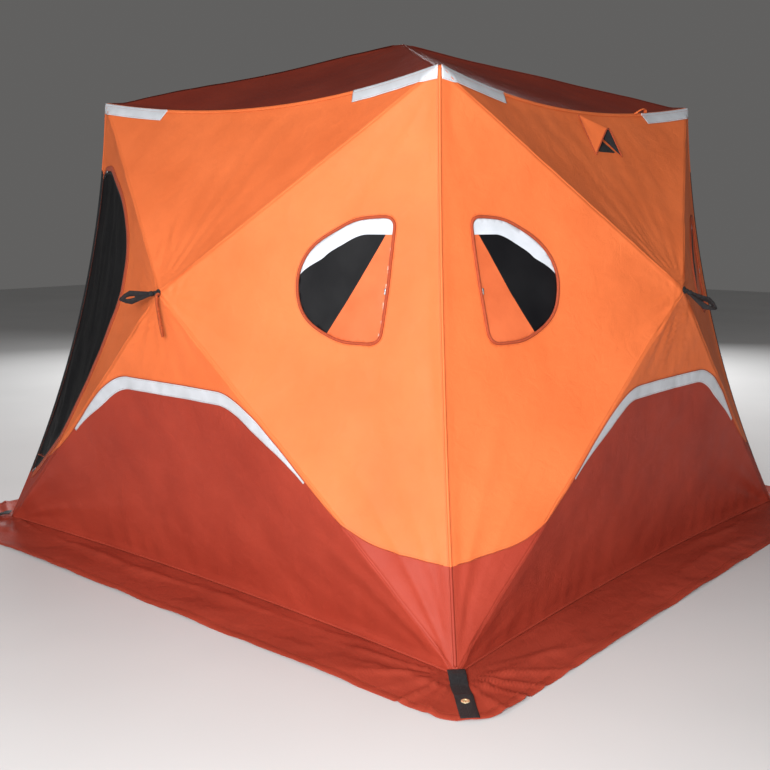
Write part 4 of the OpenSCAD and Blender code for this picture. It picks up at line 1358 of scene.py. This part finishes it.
pulls, caps = [], []
for k in range(4):
    swing, droop = (math.radians(-25), math.radians(8)) if k % 2 == 0 else (0, math.radians(28))
    level = np.array([math.sin(swing), -math.cos(swing), 0])
    d = level * math.cos(droop) + np.array([0, 0, -math.sin(droop)])
    up = level * math.sin(droop) + np.array([0, 0, math.cos(droop)])
    thick = np.cross(d, up)
    root = HUB_TIP + CAP_FACE * hub_way
    t = np.concatenate([np.linspace(0, 0.56, 22), np.linspace(0.58, 0.84, 18), np.linspace(0.86, 1, 8)])
    half = PULL_HALF * np.interp(t, [0, 0.06, 0.16, 0.45, 0.70, 0.86, 0.97, 1],
                                 [0.26, 0.34, 0.30, 0.66, 1, 0.66, 0.26, 0.12])
    slit = 0.0034 * np.sqrt(np.maximum(1 - ((t - 0.71) / 0.13) ** 2, 0))
    curl = 0.0030 * np.sin(t * 5.0) - 0.006 * t * t
    spine = root + (t * PULL_L)[:, None] * d + curl[:, None] * thick
    tracks = []
    for n, g in enumerate((-1, -0.94, -0.5, 0, 0, 0.5, 0.94, 1)):
        across = np.sign(g) * (slit + (half - slit) * abs(g)) if g else (-slit if n == 3 else slit)
        cup = 0.0045 * (across / PULL_HALF) ** 2 * np.sin(math.pi * t)
        tracks.append(turned(spine + across[:, None] * up + cup[:, None] * thick, k))
    gap = {j for j in range(len(t) - 1) if slit[j] > 0 or slit[j + 1] > 0}
    pulls.append(ribbon(tracks, skip=lambda i, j: i == 3 and j in gap))
    for at, r in ((0.045, 0.0085), (0.16, 0.0105)):
        lump = knot(np.zeros(3), r, 3 * at + k)
        caps.append((turned(root + at * PULL_L * d + lump[0], k), lump[1], lump[2]))
    button = lathe([(0.0001, -0.0040), (CAP_R * 0.9, -0.0040), (CAP_R, -0.0025), (CAP_R, -0.0006),
                    (0.8 * CAP_R, 0.0010), (0.0001, 0.0016)], 32)
    lean = math.pi / 2 - tilt
    points = button[0]
    points = np.stack([points[:, 0], points[:, 1] * math.cos(lean) - points[:, 2] * math.sin(lean),
                       points[:, 1] * math.sin(lean) + points[:, 2] * math.cos(lean)], 1)
    caps.append((turned(root + points, k), button[1], button[2]))
made = trim("hub_webbing_pulls", pulls, webbing, thickness=0.0024, way=0.0)
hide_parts("hub_pull_straps")
trim("hub_pull_knots", caps, webbing)


# ---- Eave loops
# A short loop of orange tape sewn into the eave of the right and left walls.
for k in (1, 3):
    t = np.linspace(0, 1, 30)
    x = 0.442 + 0.076 * t
    u = x / ROOF_HALF
    foot = eave_line(u)
    arch = np.sin(math.pi * t) ** 0.7
    lines = []
    for g in (-1, 0, 1):
        out = g * 0.007 - 0.012 * arch - 0.005
        rise = 0.003 + 0.019 * arch - 0.004 * abs(g) * arch
        lines.append(turned(foot + np.stack([0 * t, out, rise], 1), k))
    trim(f"{WALLS[k]}_eave_loop", [ribbon(lines)], orange_cloth, thickness=0.0014,
         way=0.0)


# ---- Floor and lights
# A plain pale floor and soft studio lamps.
FLOOR_REACH = 14.0
floor_mesh = bpy.data.meshes.new("studio_floor")
floor_mesh.from_pydata([(-FLOOR_REACH, -FLOOR_REACH, 0), (FLOOR_REACH, -FLOOR_REACH, 0),
                        (FLOOR_REACH, FLOOR_REACH, 0), (-FLOOR_REACH, FLOOR_REACH, 0)], [], [(0, 1, 2, 3)])
studio_floor = bpy.data.objects.new("studio_floor", floor_mesh)
bpy.context.collection.objects.link(studio_floor)
floor_look = new_finish("pale_floor", ((0.60, 0.60, 0.60), (0.64, 0.64, 0.64)), 0.8, coordinates="Object",
                        Roughness=0.75)[0]
floor_mesh.materials.append(floor_look)


def soft_lamp(name, place, aim, size, power):
    """A rectangular lamp, turned to face the point that it aims at."""
    lamp = bpy.data.lights.new(name, "AREA")
    lamp.shape = "RECTANGLE"
    lamp.size, lamp.size_y = size
    lamp.energy = power
    made = bpy.data.objects.new(name, lamp)
    bpy.context.collection.objects.link(made)
    made.location = place
    way = np.array(aim, float) - np.array(place, float)
    level = math.hypot(way[0], way[1])
    made.rotation_euler = (math.atan2(level, -way[2]), 0, math.atan2(way[1], way[0]) - math.pi / 2)


soft_lamp("key_softbox", (3.0, -4.4, 1.8), (0.8, -0.9, 0.9), (1.1, 1.1), 275)
soft_lamp("high_softbox", (0.6, -4.4, 4.6), (0, -0.9, 1.4), (1.6, 1.2), 70)
soft_lamp("right_softbox", (5.8, -3.4, 0.9), (1.1, -0.4, 0.9), (1.6, 1.4), 36)
soft_lamp("back_softbox", (-3.0, 4.9, 2.6), (0, 0, 0.9), (2.0, 2.0), 330)
soft_lamp("left_softbox", (-5.2, 2.6, 2.4), (0, 0, 0.9), (1.6, 1.6), 70)
world = bpy.data.worlds.new("studio")
world.use_nodes = True
sky = world.node_tree.nodes["Background"]
sky.inputs["Color"].default_value = (1.0, 0.98, 0.96, 1)
sky.inputs["Strength"].default_value = 0.12
bpy.context.scene.world = world


# ---- Scene update
bpy.context.view_layer.update()
